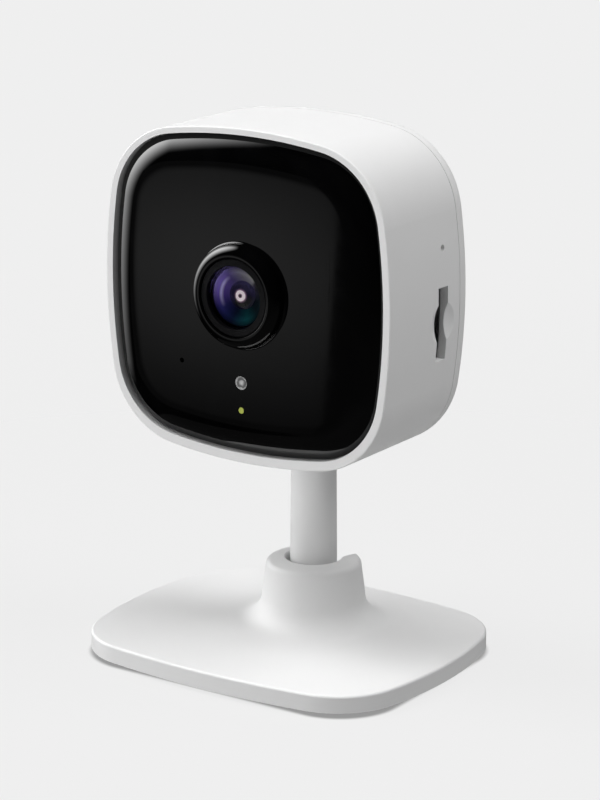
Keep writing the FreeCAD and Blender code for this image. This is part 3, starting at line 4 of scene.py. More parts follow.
import bmesh
import bpy
import numpy as np
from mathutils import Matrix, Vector


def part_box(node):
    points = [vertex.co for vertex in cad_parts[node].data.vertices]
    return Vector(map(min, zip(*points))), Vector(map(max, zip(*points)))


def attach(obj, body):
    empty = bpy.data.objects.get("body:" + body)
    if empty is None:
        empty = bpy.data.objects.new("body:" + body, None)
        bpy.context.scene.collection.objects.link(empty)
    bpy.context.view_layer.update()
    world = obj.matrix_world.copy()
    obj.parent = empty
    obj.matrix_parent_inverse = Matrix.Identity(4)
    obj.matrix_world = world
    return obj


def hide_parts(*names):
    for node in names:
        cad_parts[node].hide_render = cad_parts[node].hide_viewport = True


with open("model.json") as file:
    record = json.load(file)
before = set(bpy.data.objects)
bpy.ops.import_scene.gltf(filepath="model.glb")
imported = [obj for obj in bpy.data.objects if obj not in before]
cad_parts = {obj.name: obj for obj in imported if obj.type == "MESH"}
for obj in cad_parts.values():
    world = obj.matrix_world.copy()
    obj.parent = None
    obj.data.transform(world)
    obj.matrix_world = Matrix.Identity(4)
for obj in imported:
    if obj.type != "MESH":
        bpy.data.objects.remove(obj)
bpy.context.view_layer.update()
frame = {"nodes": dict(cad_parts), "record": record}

# An indoor security camera on a ball-jointed stand. Lengths are in metres, +Z is up and the
# lens looks along -Y. Formulas in the making functions use millimetres, scaled by MM.
MM = 0.001
PER_METRE = 1000.0
bezel_low, bezel_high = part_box("lens_bezel")
LENS_Z = (bezel_low.z + bezel_high.z) / 2 / MM

# Steps round a drilled hole, the angle in degrees at which smooth shading breaks, and the
# distance in metres within which two points become one.
DRILL_STEPS = 48
EDGE_ANGLE = 32.0
MERGE = 1e-7


# ---------------------------------------------------------------- making surfaces

def grid_quads(rows, columns):
    """Corner numbers of the faces of a grid that is closed both ways, row by row."""
    row = np.arange(rows)[:, None]
    column = np.arange(columns)[None, :]
    low = row * columns
    high = ((row + 1) % rows) * columns
    after = (column + 1) % columns
    corners = [low + column, low + after, high + after, high + column]
    return np.stack([corner.ravel() for corner in corners], axis=1)


def piece_from(name, points, faces):
    """A mesh object from points in millimetres and lists of corner numbers, facing outwards."""
    mesh = bpy.data.meshes.new(name)
    mesh.from_pydata((points.reshape(-1, 3) * MM).tolist(), [], faces)
    made = bmesh.new()
    made.from_mesh(mesh)
    bmesh.ops.remove_doubles(made, verts=made.verts, dist=MERGE)
    bmesh.ops.dissolve_degenerate(made, edges=made.edges, dist=MERGE / 10)
    bmesh.ops.recalc_face_normals(made, faces=made.faces)
    made.to_mesh(mesh)
    made.free()
    piece = bpy.data.objects.new(name, mesh)
    bpy.context.scene.collection.objects.link(piece)
    return piece


def smooth(piece):
    """Smooth shading that breaks only where faces meet at more than the edge angle."""
    mesh = piece.data
    mesh.polygons.foreach_set("use_smooth", np.ones(len(mesh.polygons), bool))
    mesh.set_sharp_from_angle(angle=math.radians(EDGE_ANGLE))
    mesh.update()
    return piece


def section(corners, steps, hold=0.03):
    """A section's points: straight runs whose corners may be rounded.

    Each corner is (a, b) or (a, b, radius). A rounded corner becomes an arc tangent to both
    runs, centre + radius * (cos t, sin t), with a holding point a hair outside each end.
    """
    parts = []
    count = len(corners)
    for index, corner in enumerate(corners):
        here = np.array(corner[:2], float)
        if len(corner) == 2:
            parts.append(here[None, :])
            continue
        radius = corner[2]
        before = np.array(corners[index - 1][:2], float) - here
        after = np.array(corners[(index + 1) % count][:2], float) - here
        before /= np.linalg.norm(before)
        after /= np.linalg.norm(after)
        half = math.acos(np.clip(before @ after, -1, 1)) / 2
        reach = radius / math.tan(half)
        middle = (before + after) / np.linalg.norm(before + after)
        centre = here + middle * radius / math.sin(half)
        first = here + before * reach - centre
        last = here + after * reach - centre
        span = math.pi - 2 * half
        turn = math.copysign(span, first[0] * last[1] - first[1] * last[0])
        t = np.linspace(0, 1, steps + 1)[:, None] * turn + math.atan2(first[1], first[0])
        arc = centre + radius * np.hstack([np.cos(t), np.sin(t)])
        ends = (arc[:1] + before * hold, arc[-1:] + after * hold)
        parts += [ends[0], arc, ends[1]]
    return np.vstack(parts)


def turned(name, points, steps, x=0.0, z=LENS_Z):
    """A closed section of (place along Y, radius) turned once round an axis along Y.

    Point = (x + radius * cos t, place, z + radius * sin t), for t all the way round.
    """
    t = np.linspace(0, 2 * math.pi, steps, endpoint=False)[None, :]
    along = points[:, 0][:, None] + 0 * t
    across = points[:, 1][:, None] * np.cos(t)
    up = points[:, 1][:, None] * np.sin(t)
    rings = np.stack([across, along, up], axis=2) + np.array([x, 0.0, z])
    return smooth(piece_from(name, rings, grid_quads(len(points), steps).tolist()))


def bowed_outline(half_wide, half_high, bulge, end_bulge, corner, steps):
    """A rectangle with bowed sides as (centre, radius, direction) for each of its points.

    Eight tangent arcs; a point inset by s lies at centre + (radius - s) * direction, so
    every inset outline keeps the same centres and directions.
    """
    side = np.array([half_wide - bulge, 0.0])
    end = np.array([0.0, half_high - end_bulge])
    between = end - side
    length = np.linalg.norm(between)
    along = (length ** 2 + (bulge - corner) ** 2 - (end_bulge - corner) ** 2) / (2 * length)
    across = math.sqrt((bulge - corner) ** 2 - along ** 2)
    unit = between / length
    options = [side + unit * along + np.array([-unit[1], unit[0]]) * sign * across
               for sign in (1, -1)]
    elbow = max(options, key=lambda point: point.sum())
    low = math.atan2(elbow[1], elbow[0] - side[0])
    top = math.atan2(elbow[1] - end[1], elbow[0])
    pi = math.pi
    arcs = [
        (side, bulge, -low, low, steps[0]),
        (elbow, corner, low, top, steps[1]),
        (end, end_bulge, top, pi - top, steps[0]),
        (elbow * (-1, 1), corner, pi - top, pi - low, steps[1]),
        (-side, bulge, pi - low, pi + low, steps[0]),
        (-elbow, corner, pi + low, pi + top, steps[1]),
        (-end, end_bulge, pi + top, 2 * pi - top, steps[0]),
        (elbow * (1, -1), corner, 2 * pi - top, 2 * pi - low, steps[1]),
    ]
    angle = np.concatenate([np.linspace(arc[2], arc[3], arc[4], endpoint=False) for arc in arcs])
    radius = np.concatenate([np.full(arc[4], arc[1]) for arc in arcs])
    centre = np.vstack([np.tile(arc[0], (arc[4], 1)) for arc in arcs])
    return centre, radius, np.stack([np.cos(angle), np.sin(angle)], axis=1)


def carried(outline, insets):
    """Rings of an outline: one inset outline for each inset, as an array (ring, point, 2)."""
    centre, radius, direction = outline
    return centre + (radius[None, :, None] - insets[:, None, None]) * direction


def bored(piece, drills, front, back):
    """Cut round holes along Y through a piece: each drill is (x, z from the lens, radius)."""
    for number, (x, z, radius) in enumerate(drills):
        ends = np.array([[front, 0.0], [front, radius], [back, radius], [back, 0.0]])
        tool = turned(f"drill_{number}", ends, DRILL_STEPS, x, LENS_Z + z)
        cutter = piece.modifiers.new("bore", "BOOLEAN")
        cutter.object = tool
        cutter.operation = "DIFFERENCE"
        cutter.solver = "EXACT"
        bpy.context.view_layer.update()
        shaped = piece.evaluated_get(bpy.context.evaluated_depsgraph_get())
        mesh = bpy.data.meshes.new_from_object(shaped)
        piece.modifiers.clear()
        piece.data = mesh
        bpy.data.objects.remove(tool)
    return smooth(piece)


# ---------------------------------------------------------------- shared effects

def effect(name, inputs, outputs):
    """An empty node group with named inputs (name, kind, default) and outputs (name, kind)."""
    group = bpy.data.node_groups.new(name, "ShaderNodeTree")
    for label, kind, default in inputs:
        made = group.interface.new_socket(label, in_out="INPUT", socket_type=kind)
        made.default_value = default
    for label, kind in outputs:
        group.interface.new_socket(label, in_out="OUTPUT", socket_type=kind)
    start = group.nodes.new("NodeGroupInput")
    end = group.nodes.new("NodeGroupOutput")
    return group, start, end


def wire(tree, kind, sockets=None, **settings):
    """A node with its settings; sockets gives values or links for its inputs."""
    made = tree.nodes.new(kind)
    for key, value in settings.items():
        setattr(made, key, value)
    for key, value in (sockets or {}).items():
        socket = made.inputs[key]
        if isinstance(value, bpy.types.NodeSocket):
            tree.links.new(value, socket)
        else:
            socket.default_value = value
    return made


def maths(tree, operation, first, second=0.0, third=None):
    """One arithmetic step on values or sockets."""
    sockets = {0: first, 1: second}
    if third is not None:
        sockets[2] = third
    return wire(tree, "ShaderNodeMath", sockets, operation=operation).outputs[0]


def place_of(tree):
    """The point's own place on the object, in metres."""
    return wire(tree, "ShaderNodeTexCoord").outputs["Object"]


def moulded_grain():
    """Fine spark-eroded mould grain with slow mottling and faint rubbed patches.

    Height = fine noise + half the distance to the nearest pit; the rub is a stirred noise,
    cut to its upper part.
    """
    group, start, end = effect(
        "moulded_grain",
        [("Grain", "NodeSocketFloat", 5200.0), ("Patch", "NodeSocketFloat", 90.0)],
        [("Height", "NodeSocketFloat"), ("Mottle", "NodeSocketFloat"),
         ("Rub", "NodeSocketFloat")])
    where = place_of(group)
    fine = wire(group, "ShaderNodeTexNoise",
                {"Vector": where, "Scale": start.outputs["Grain"], "Detail": 3.0,
                 "Roughness": 0.55})
    pits = wire(group, "ShaderNodeTexVoronoi",
                {"Vector": where, "Scale": start.outputs["Grain"], "Randomness": 1.0})
    slow = wire(group, "ShaderNodeTexNoise",
                {"Vector": where, "Scale": start.outputs["Patch"], "Detail": 4.0})
    rub = wire(group, "ShaderNodeTexNoise",
               {"Vector": where, "Scale": maths(group, "MULTIPLY", start.outputs["Patch"], 2.6),
                "Detail": 6.0, "Roughness": 0.62, "Distortion": 0.6})
    height = maths(group, "MULTIPLY_ADD", pits.outputs["Distance"], 0.5, fine.outputs[0])
    rubbed = wire(group, "ShaderNodeMapRange",
                  {"Value": rub.outputs[0], "From Min": 0.42, "From Max": 0.68}).outputs[0]
    group.links.new(height, end.inputs["Height"])
    group.links.new(slow.outputs[0], end.inputs["Mottle"])
    group.links.new(rubbed, end.inputs["Rub"])
    return group


def handled_gloss():
    """Faint finger smears and hairline scratches on a polished face."""
    group, start, end = effect(
        "handled_gloss", [("Smear", "NodeSocketFloat", 60.0)],
        [("Haze", "NodeSocketFloat"), ("Scratch", "NodeSocketFloat")])
    where = place_of(group)
    smear = wire(group, "ShaderNodeTexNoise",
                 {"Vector": where, "Scale": start.outputs["Smear"], "Detail": 5.0,
                  "Roughness": 0.6, "Distortion": 1.1})
    haze = wire(group, "ShaderNodeMapRange",
                {"Value": smear.outputs[0], "From Min": 0.45, "From Max": 0.75}).outputs[0]
    stretched = wire(group, "ShaderNodeMapping",
                     {"Vector": where, "Rotation": (0.3, 0.9, 0.2),
                      "Scale": (2600.0, 60.0, 60.0)})
    hair = wire(group, "ShaderNodeTexNoise", {"Vector": stretched.outputs[0], "Scale": 1.0,
                                              "Detail": 2.0})
    scratch = wire(group, "ShaderNodeMapRange",
                   {"Value": hair.outputs[0], "From Min": 0.66, "From Max": 0.72}).outputs[0]
    group.links.new(haze, end.inputs["Haze"])
    group.links.new(scratch, end.inputs["Scratch"])
    return group


def drawn_metal():
    """Brushed lines along X with spots of dulling."""
    group, start, end = effect(
        "drawn_metal", [("Lines", "NodeSocketFloat", 9000.0)],
        [("Height", "NodeSocketFloat"), ("Dull", "NodeSocketFloat")])
    where = place_of(group)
    stretched = wire(group, "ShaderNodeMapping",
                     {"Vector": where, "Scale": (0.04, 1.0, 1.0)})
    lines = wire(group, "ShaderNodeTexNoise",
                 {"Vector": stretched.outputs[0], "Scale": start.outputs["Lines"],
                  "Detail": 3.0})
    spots = wire(group, "ShaderNodeTexNoise", {"Vector": where, "Scale": 420.0, "Detail": 5.0})
    group.links.new(lines.outputs[0], end.inputs["Height"])
    group.links.new(spots.outputs[0], end.inputs["Dull"])
    return group


# Scales of the mottling and the smears, per metre, and depths of the relief, in metres.
MOTTLE_SCALE = 90.0
SMEAR_SCALE = 60.0
LINE_DEPTH = 0.000002
SCRATCH_DEPTH = 0.0000002

GRAIN = moulded_grain()
GLOSS = handled_gloss()
METAL = drawn_metal()


def new_material(name):
    """A material whose node tree holds only the shader and the output it feeds."""
    material = bpy.data.materials.new(name)
    material.use_nodes = True
    tree = material.node_tree
    tree.nodes.clear()
    shader = tree.nodes.new("ShaderNodeBsdfPrincipled")
    out = tree.nodes.new("ShaderNodeOutputMaterial")
    tree.links.new(shader.outputs[0], out.inputs["Surface"])
    return material, tree, shader


def between(tree, factor, low, high):
    """A value or colour that runs from low to high as the factor runs from 0 to 1."""
    if isinstance(low, tuple):
        made = wire(tree, "ShaderNodeMix", data_type="RGBA")
        made.inputs[6].default_value = (*low, 1.0)
        made.inputs[7].default_value = (*high, 1.0)
        tree.links.new(factor, made.inputs[0])
        return made.outputs[2]
    return wire(tree, "ShaderNodeMapRange",
                {"Value": factor, "To Min": low, "To Max": high}).outputs[0]


def bumped(tree, shader, height, distance):
    """Raise the surface's relief: the height's full run stands for the distance, in metres."""
    bump = wire(tree, "ShaderNodeBump",
                {"Height": height, "Distance": distance, "Strength": 1.0})
    tree.links.new(bump.outputs[0], shader.inputs["Normal"])


def moulded(name, light, dark, roughness, grain=5200.0, depth=0.000004, **extra):
    """Moulded plastic or rubber: mottled colour, grainy bump and uneven sheen."""
    material, tree, shader = new_material(name)
    group = tree.nodes.new("ShaderNodeGroup")
    group.node_tree = GRAIN
    group.inputs["Grain"].default_value = grain
    group.inputs["Patch"].default_value = MOTTLE_SCALE
    tree.links.new(between(tree, group.outputs["Mottle"], dark, light),
                   shader.inputs["Base Color"])
    tree.links.new(between(tree, group.outputs["Rub"], *roughness), shader.inputs["Roughness"])
    bumped(tree, shader, group.outputs["Height"], depth)
    for key, value in extra.items():
        shader.inputs[key.replace("_", " ")].default_value = value
    return material


def metal(name, light, dark, roughness, lines=9000.0):
    """Drawn or rolled metal: brushed lines and spots of dulling."""
    material, tree, shader = new_material(name)
    group = tree.nodes.new("ShaderNodeGroup")
    group.node_tree = METAL
    group.inputs["Lines"].default_value = lines
    tree.links.new(between(tree, group.outputs["Dull"], dark, light),
                   shader.inputs["Base Color"])
    tree.links.new(between(tree, group.outputs["Dull"], *roughness), shader.inputs["Roughness"])
    bumped(tree, shader, group.outputs["Height"], LINE_DEPTH)
    shader.inputs["Metallic"].default_value = 1.0
    return material


def polished(name, light, dark, roughness, **extra):
    """Polished plastic with faint smears."""
    material, tree, shader = new_material(name)
    group = tree.nodes.new("ShaderNodeGroup")
    group.node_tree = GLOSS
    group.inputs["Smear"].default_value = SMEAR_SCALE
    tree.links.new(between(tree, group.outputs["Haze"], dark, light),
                   shader.inputs["Base Color"])
    tree.links.new(between(tree, group.outputs["Haze"], *roughness), shader.inputs["Roughness"])
    bumped(tree, shader, group.outputs["Scratch"], SCRATCH_DEPTH)
    for key, value in extra.items():
        shader.inputs[key.replace("_", " ")].default_value = value
    return material


MATERIALS = {
    "white_plastic": moulded("white_plastic", (0.86, 0.86, 0.86), (0.835, 0.835, 0.835),
                             (0.44, 0.54), Specular_IOR_Level=0.22),
    "grey_plastic": moulded("grey_plastic", (0.60, 0.60, 0.60), (0.54, 0.54, 0.54),
                            (0.45, 0.6)),
    "natural_plastic": moulded("natural_plastic", (0.80, 0.79, 0.74), (0.72, 0.71, 0.66),
                               (0.4, 0.55)),
    "black_plastic": moulded("black_plastic", (0.016, 0.016, 0.017), (0.010, 0.010, 0.011),
                             (0.42, 0.58)),
    "gloss_black": polished("gloss_black", (0.0022, 0.0022, 0.0024), (0.0012, 0.0012, 0.0013),
                            (0.035, 0.075)),
    "clear_plastic": polished("clear_plastic", (0.9, 0.9, 0.9), (0.86, 0.86, 0.86),
                              (0.03, 0.08), Transmission_Weight=1.0),
    "status_lens": polished("status_lens", (0.56, 0.62, 0.14), (0.46, 0.52, 0.1),
                            (0.15, 0.25)),
    "silicone": moulded("silicone", (0.32, 0.32, 0.32), (0.24, 0.24, 0.24), (0.6, 0.75),
                        2600.0),
    "foam": moulded("foam", (0.05, 0.05, 0.05), (0.025, 0.025, 0.025), (0.85, 0.95), 1500.0,
                    0.00005),
    "ballast_steel": metal("ballast_steel", (0.46, 0.46, 0.45), (0.34, 0.34, 0.34),
                           (0.35, 0.6)),
    "bright_steel": metal("bright_steel", (0.64, 0.64, 0.64), (0.52, 0.52, 0.52),
                          (0.22, 0.4)),
    "brass": metal("brass", (0.78, 0.60, 0.28), (0.62, 0.45, 0.2), (0.25, 0.45)),
    "copper_coil": metal("copper_coil", (0.75, 0.38, 0.2), (0.55, 0.24, 0.12), (0.3, 0.5),
                         3000.0),
    "board_green": moulded("board_green", (0.02, 0.17, 0.085), (0.01, 0.12, 0.06), (0.2, 0.4),
                           900.0, 0.00003),
    "chip_black": moulded("chip_black", (0.035, 0.035, 0.036), (0.022, 0.022, 0.023),
                          (0.5, 0.7)),
    "lens_glass": polished("lens_glass", (1.0, 1.0, 1.0), (0.98, 0.98, 0.98), (0.0, 0.01),
                           Transmission_Weight=1.0, Specular_Tint=(0.3, 0.2, 1.0, 1.0)),
    "filter_glass": polished("filter_glass", (0.6, 0.85, 0.9), (0.5, 0.75, 0.85), (0.02, 0.05),
                             Transmission_Weight=1.0),
}


SLOT_OF = {part["node"]: part["material_slot"] for part in frame["record"]["subparts"]}
BODY_OF = {name: body for body, names in frame["record"]["behaviour"]["bodies"].items()
           for name in names}
for node_name, node in frame["nodes"].items():
    for slot in node.material_slots:
        slot.material = MATERIALS[SLOT_OF[node_name]]


def stands_for(piece, node_name, material=None):
    """The piece takes the node's place and its body, and its slot's finish or one of its own."""
    piece.data.materials.clear()
    piece.data.materials.append(material or MATERIALS[SLOT_OF[node_name]])
    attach(piece, BODY_OF[node_name])
    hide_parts(node_name)
    return piece


# ---------------------------------------------------------------- front panel and lens

# The head's outline, and places along Y: the panel's flat face, its inside and its edge's back.
HEAD = bowed_outline(30.15, 29.90, 106.0, 106.0, 15.4, (48, 40))
PANEL_Z = LENS_Z - 0.45
FRONT = -14.90
PANEL_INSIDE = -13.30
PANEL_BACK = -12.10

# The panel's edge: inset from the head's outline, height of the rise to the flat face, inset
# over which it rises, where the flat cap starts, and inset of the inner wall.
EDGE_INSET = 1.62
EDGE_FLANK = 1.59
EDGE_RISE = 2.3
EDGE_FADE = 6.6
CAP_INSET = 9.6
WALL_INSET = 4.59

# Holes through the panel, as x, z from the lens axis, and radius.
LENS_HOLE = (0.0, 0.0, 9.0)
WINDOW_HOLE = (0.0, -15.7, 1.25)
LIGHT_HOLE = (0.0, -20.7, 0.6)
MICROPHONE_HOLE = (-12.75, -13.4, 0.45)
DRILL_FRONT = -16.0
DRILL_BACK = -12.0

# The lens ring: radii of its foot, shoulder and bore, and places along Y of its parts.
FOOT_RADIUS = 9.68
FOOT_NARROWS = 0.38
FOOT_RISE = 0.5
SHOULDER_RADIUS = 9.30
SHOULDER_TOP_RADIUS = 9.22
SHOULDER_ROUND = 1.8
SHOULDER_START = -15.45
RING_FRONT = -17.33
LIP_OUTSIDE = 7.3
LIP_CREST = 7.16
LIP_SLOPE = 7.09
BORE_RADIUS = 7.05
RING_BACK = -13.2
SPIGOT_RADIUS = 8.95

# The front glass, the cone behind it and the little lens in the cone's narrow end.
GLASS_RADIUS = 5.65
GLASS_FRONT = -16.2
GLASS_FRONT_SAG = 1.1
GLASS_BACK = -15.5
GLASS_BACK_SAG = 0.1
CONE_MOUTH = -15.35
CONE_MOUTH_RADIUS = 4.85
CONE_OUTSIDE = 4.95
CONE_END = -14.1
CONE_END_RADIUS = 2.3
CONE_BACK = -13.8
PUPIL_RADIUS = 2.26
PUPIL_SAG = 0.5


def front_panel():
    """The pillow-edged panel: its section (inset, depth) carried round the head's outline.

    The outside rises from the edge to the flat face as inset = edge inset + fade * u and
    depth = face + rise * (1 - u) ^ 3, where u runs from 0 to 1. The inside is flat, and the
    middle of each face is one flat cap.
    """
    u = np.linspace(0, 1, 25)
    rise = np.stack([EDGE_INSET + EDGE_FADE * u, FRONT + EDGE_RISE * (1 - u) ** 3], axis=1)
    flank = [(EDGE_FLANK, PANEL_BACK), (EDGE_FLANK, FRONT + 2.34)]
    outer = np.vstack([flank, rise, [(CAP_INSET, FRONT)]])
    inner = np.array([(CAP_INSET, PANEL_INSIDE), (WALL_INSET, PANEL_INSIDE),
                      (WALL_INSET, PANEL_BACK)])
    ring = np.vstack([outer, inner])
    flat = carried(HEAD, ring[:, 0])
    depth = np.broadcast_to(ring[:, 1][:, None], flat.shape[:2])
    points = np.stack([flat[:, :, 0], depth, flat[:, :, 1] + PANEL_Z], axis=2)
    count = flat.shape[1]
    cap = len(outer) - 1
    faces = grid_quads(len(ring), count)
    faces = faces[(faces[:, 0] // count) != cap].tolist()
    faces.append(list(range(cap * count, (cap + 1) * count)))
    faces.append(list(range((cap + 1) * count, (cap + 2) * count))[::-1])
    panel = piece_from("front_panel_skin", points, faces)
    return bored(panel, [LENS_HOLE, WINDOW_HOLE, LIGHT_HOLE, MICROPHONE_HOLE],
                 DRILL_FRONT, DRILL_BACK)


def lens_bezel():
    """The ring round the lens: a concave foot on the panel, a full shoulder, a thin lip.

    The foot is depth = face - rise * (1 - cos t), radius = foot - narrowing * sin t, for a
    quarter turn of t; the shoulder's corner is an arc; the lip slopes into the bore.
    """
    t = np.linspace(0, math.pi / 2, 9)
    foot = np.stack([FRONT - FOOT_RISE * (1 - np.cos(t)),
                     FOOT_RADIUS - FOOT_NARROWS * np.sin(t)], axis=1)
    shoulder = section([(SHOULDER_START, SHOULDER_RADIUS),
                        (RING_FRONT, SHOULDER_TOP_RADIUS, SHOULDER_ROUND),
                        (RING_FRONT, LIP_OUTSIDE)], 16)
    rest = np.array([(RING_FRONT, LIP_CREST), (RING_FRONT + 0.03, LIP_SLOPE),
                     (RING_FRONT + 0.11, BORE_RADIUS), (RING_BACK, BORE_RADIUS),
                     (RING_BACK, SPIGOT_RADIUS), (FRONT, SPIGOT_RADIUS)])
    return turned("lens_bezel_ring", np.vstack([foot, shoulder[1:], rest]), 192)


def cap_of(radius, sag, level):
    """Points from the axis outwards over a dome whose top is the sag in front of its level.

    Depth = level - sag + bow - sqrt(bow ^ 2 - r ^ 2), where the ball's radius is
    bow = (radius ^ 2 + sag ^ 2) / (2 * sag).
    """
    bow = (radius ** 2 + sag ** 2) / (2 * sag)
    r = np.linspace(0, radius, 20)
    return np.stack([level - sag + bow - np.sqrt(bow ** 2 - r ** 2), r], axis=1)


def lens_front_dome():
    """The front glass: a domed front and a nearly flat back, each a cap of a ball."""
    front = cap_of(GLASS_RADIUS, GLASS_FRONT_SAG, GLASS_FRONT)
    back = cap_of(GLASS_RADIUS, GLASS_BACK_SAG, GLASS_BACK)[::-1]
    return turned("lens_front_dome", np.vstack([front, back]), 160)


def lens_cone():
    """The straight-sided cone behind the front glass, narrowing to the little middle lens."""
    return turned("lens_cone", np.array([
        (CONE_MOUTH, CONE_MOUTH_RADIUS), (CONE_END, CONE_END_RADIUS),
        (CONE_BACK, CONE_END_RADIUS), (CONE_BACK, CONE_OUTSIDE), (CONE_MOUTH, CONE_OUTSIDE)]), 128)


def lens_pupil():
    """The little lens in the narrow end of the cone: a cap of a ball on a short barrel."""
    dome = cap_of(PUPIL_RADIUS, PUPIL_SAG, CONE_END)
    ends = [(CONE_BACK, PUPIL_RADIUS), (CONE_BACK, 0.0)]
    return turned("lens_pupil", np.vstack([dome, ends]), 96)


def round_axis(tree, x=0.0, z=LENS_Z):
    """The point's place across an axis along Y, in metres, as (x, 0, z) from the axis."""
    shifted = wire(tree, "ShaderNodeMapping",
                   {"Vector": place_of(tree), "Location": (-x * MM, 0.0, -z * MM)})
    return wire(tree, "ShaderNodeVectorMath",
                {0: shifted.outputs[0], 1: (1.0, 0.0, 1.0)}, operation="MULTIPLY").outputs[0]


def away_from(tree, across):
    """Distance from the axis, in millimetres."""
    away = wire(tree, "ShaderNodeVectorMath", {0: across}, operation="LENGTH")
    return maths(tree, "MULTIPLY", away.outputs["Value"], PER_METRE)


def turn_round(tree, across):
    """Angle round the axis, from 0 at -X, by way of below, +X and above, back to 1."""
    part = wire(tree, "ShaderNodeSeparateXYZ", {0: across})
    angle = maths(tree, "ARCTAN2", part.outputs["Z"], part.outputs["X"])
    return maths(tree, "MULTIPLY_ADD", angle, 1 / (2 * math.pi), 0.5)


def noise(tree, scale, detail, distortion=0.0):
    """Smooth noise over the object's own place, about 0.5."""
    return wire(tree, "ShaderNodeTexNoise",
                {"Vector": place_of(tree), "Scale": scale, "Detail": detail,
                 "Distortion": distortion}).outputs[0]


def grey(level):
    """A neutral colour."""
    return (level, level, level)


def ramp(tree, factor, stops):
    """A colour that passes through (place, colour) stops as the factor runs from 0 to 1."""
    made = wire(tree, "ShaderNodeValToRGB", {0: factor})
    while len(made.color_ramp.elements) < len(stops):
        made.color_ramp.elements.new(0.5)
    for element, (place, colour) in zip(made.color_ramp.elements, stops):
        element.position = place
        element.color = (*colour, 1.0)
    return made.outputs[0]


def cone_painted_reflections():
    """Gloss black with the coatings' reflections painted on: a violet painted reflection with a
    painted bright arc, a painted grey wedge of lamp light, and teal; it also glows faintly.

    The tint goes round the axis; its painted shade and the painted arc depend on the distance from
    the axis, as a share of 5 mm.
    """
    material, tree, shader = new_material("cone_painted_reflections")
    across = round_axis(tree)
    share = maths(tree, "MULTIPLY", away_from(tree, across), 0.2)
    turn = turn_round(tree, across)
    wander = noise(tree, 260.0, 3.0)
    bent = maths(tree, "MULTIPLY_ADD", wander, 0.03, maths(tree, "SUBTRACT", turn, 0.015))
    # Colours of painted reflections: violet and blue of the coatings, a teal arc and a grey wedge
    # of lamp light; the rest is near black.
    violet, blue, teal = (0.12, 0.065, 0.44), (0.035, 0.035, 0.22), (0.008, 0.10, 0.12)
    tint = ramp(tree, bent, [
        (0.00, violet), (0.09, blue), (0.20, (0.006, 0.016, 0.06)), (0.31, teal),
        (0.40, (0.006, 0.020, 0.022)), (0.61, (0.008, 0.008, 0.010)),
        (0.635, (0.34, 0.34, 0.35)), (0.74, (0.17, 0.165, 0.18)),
        (0.84, (0.07, 0.045, 0.20)), (0.93, (0.13, 0.07, 0.44)), (1.00, violet)])
    dark, full = grey(0.0), grey(1.0)
    # Painted highlight: a bright arc at one distance from the axis, on the left side only.
    band = ramp(tree, share, [(0.62, dark), (0.71, full), (0.78, dark)])
    reach = ramp(tree, turn, [(0.00, full), (0.10, dark), (0.84, dark), (0.92, full)])
    lit = maths(tree, "MULTIPLY", maths(tree, "MULTIPLY", band, reach), 0.85)
    # Painted shade: the painted reflections are darker near the narrow end and at the mouth.
    shade = ramp(tree, share, [(0.46, grey(0.4)), (0.64, grey(0.6)), (0.80, full),
                               (0.97, grey(0.35))])
    shaded = wire(tree, "ShaderNodeVectorMath", {0: tint, 1: shade},
                  operation="MULTIPLY").outputs[0]
    mixed = wire(tree, "ShaderNodeMix", {0: lit, 6: shaded, 7: (0.62, 0.56, 1.0, 1.0)},
                 data_type="RGBA").outputs[2]
    # The painted reflections are both the colour and a faint glow, though the cone is no lamp.
    for socket in ("Base Color", "Emission Color"):
        tree.links.new(mixed, shader.inputs[socket])
    shader.inputs["Emission Strength"].default_value = 0.22
    tree.links.new(between(tree, wander, 0.3, 0.5), shader.inputs["Roughness"])
    shader.inputs["Specular IOR Level"].default_value = 0.1
    return material


def pupil_painted_ring():
    """Dark glass with a painted reflection: a pale pink ring round a dark dot, which also glows.

    The colour depends on the distance from the axis, as a share of the cone's narrow end.
    """
    material, tree, shader = new_material("pupil_painted_ring")
    away = away_from(tree, round_axis(tree))
    wander = noise(tree, 900.0, 2.0)
    bent = maths(tree, "MULTIPLY_ADD", wander, 0.12, maths(tree, "SUBTRACT", away, 0.06))
    # Painted reflection: a pale pink ring round a dark dot, wobbled slightly by noise.
    black = (0.004, 0.004, 0.005)
    tint = ramp(tree, maths(tree, "DIVIDE", bent, CONE_END_RADIUS), [
        (0.05, (0.02, 0.015, 0.02)), (0.12, (0.10, 0.08, 0.10)), (0.20, (0.95, 0.80, 0.92)),
        (0.34, (0.95, 0.84, 0.94)), (0.42, (0.14, 0.08, 0.14)), (0.52, black),
        (0.76, black), (0.84, (0.005, 0.005, 0.014))])
    # The painted ring is both the colour and a glow, though the glass is no lamp.
    for socket in ("Base Color", "Emission Color"):
        tree.links.new(tint, shader.inputs[socket])
    shader.inputs["Emission Strength"].default_value = 0.45
    tree.links.new(between(tree, wander, 0.04, 0.1), shader.inputs["Roughness"])
    shader.inputs["Specular IOR Level"].default_value = 0.12
    return material


def frosted_window():
    """Milky domed window: a bright rim, a dark band and a bright heart, all slightly swirled.

    The colour depends on the distance from just beside the window's axis, as a share of
    1.5 mm, pushed in or out by the swirl.
    """
    material, tree, shader = new_material("frosted_window")
    away = away_from(tree, round_axis(tree, 0.1, LENS_Z - 15.6))
    swirl = noise(tree, 620.0, 3.0, 2.0)
    bent = maths(tree, "ADD", away, maths(tree, "MULTIPLY_ADD", swirl, 0.9, -0.45))
    tint = ramp(tree, maths(tree, "DIVIDE", bent, 1.5), [
        (0.00, grey(0.62)), (0.24, grey(0.46)), (0.42, grey(0.13)),
        (0.58, grey(0.14)), (0.74, grey(0.50)), (1.00, grey(0.34))])
    tree.links.new(tint, shader.inputs["Base Color"])
    tree.links.new(between(tree, swirl, 0.2, 0.4), shader.inputs["Roughness"])
    bumped(tree, shader, swirl, 0.00003)
    return material


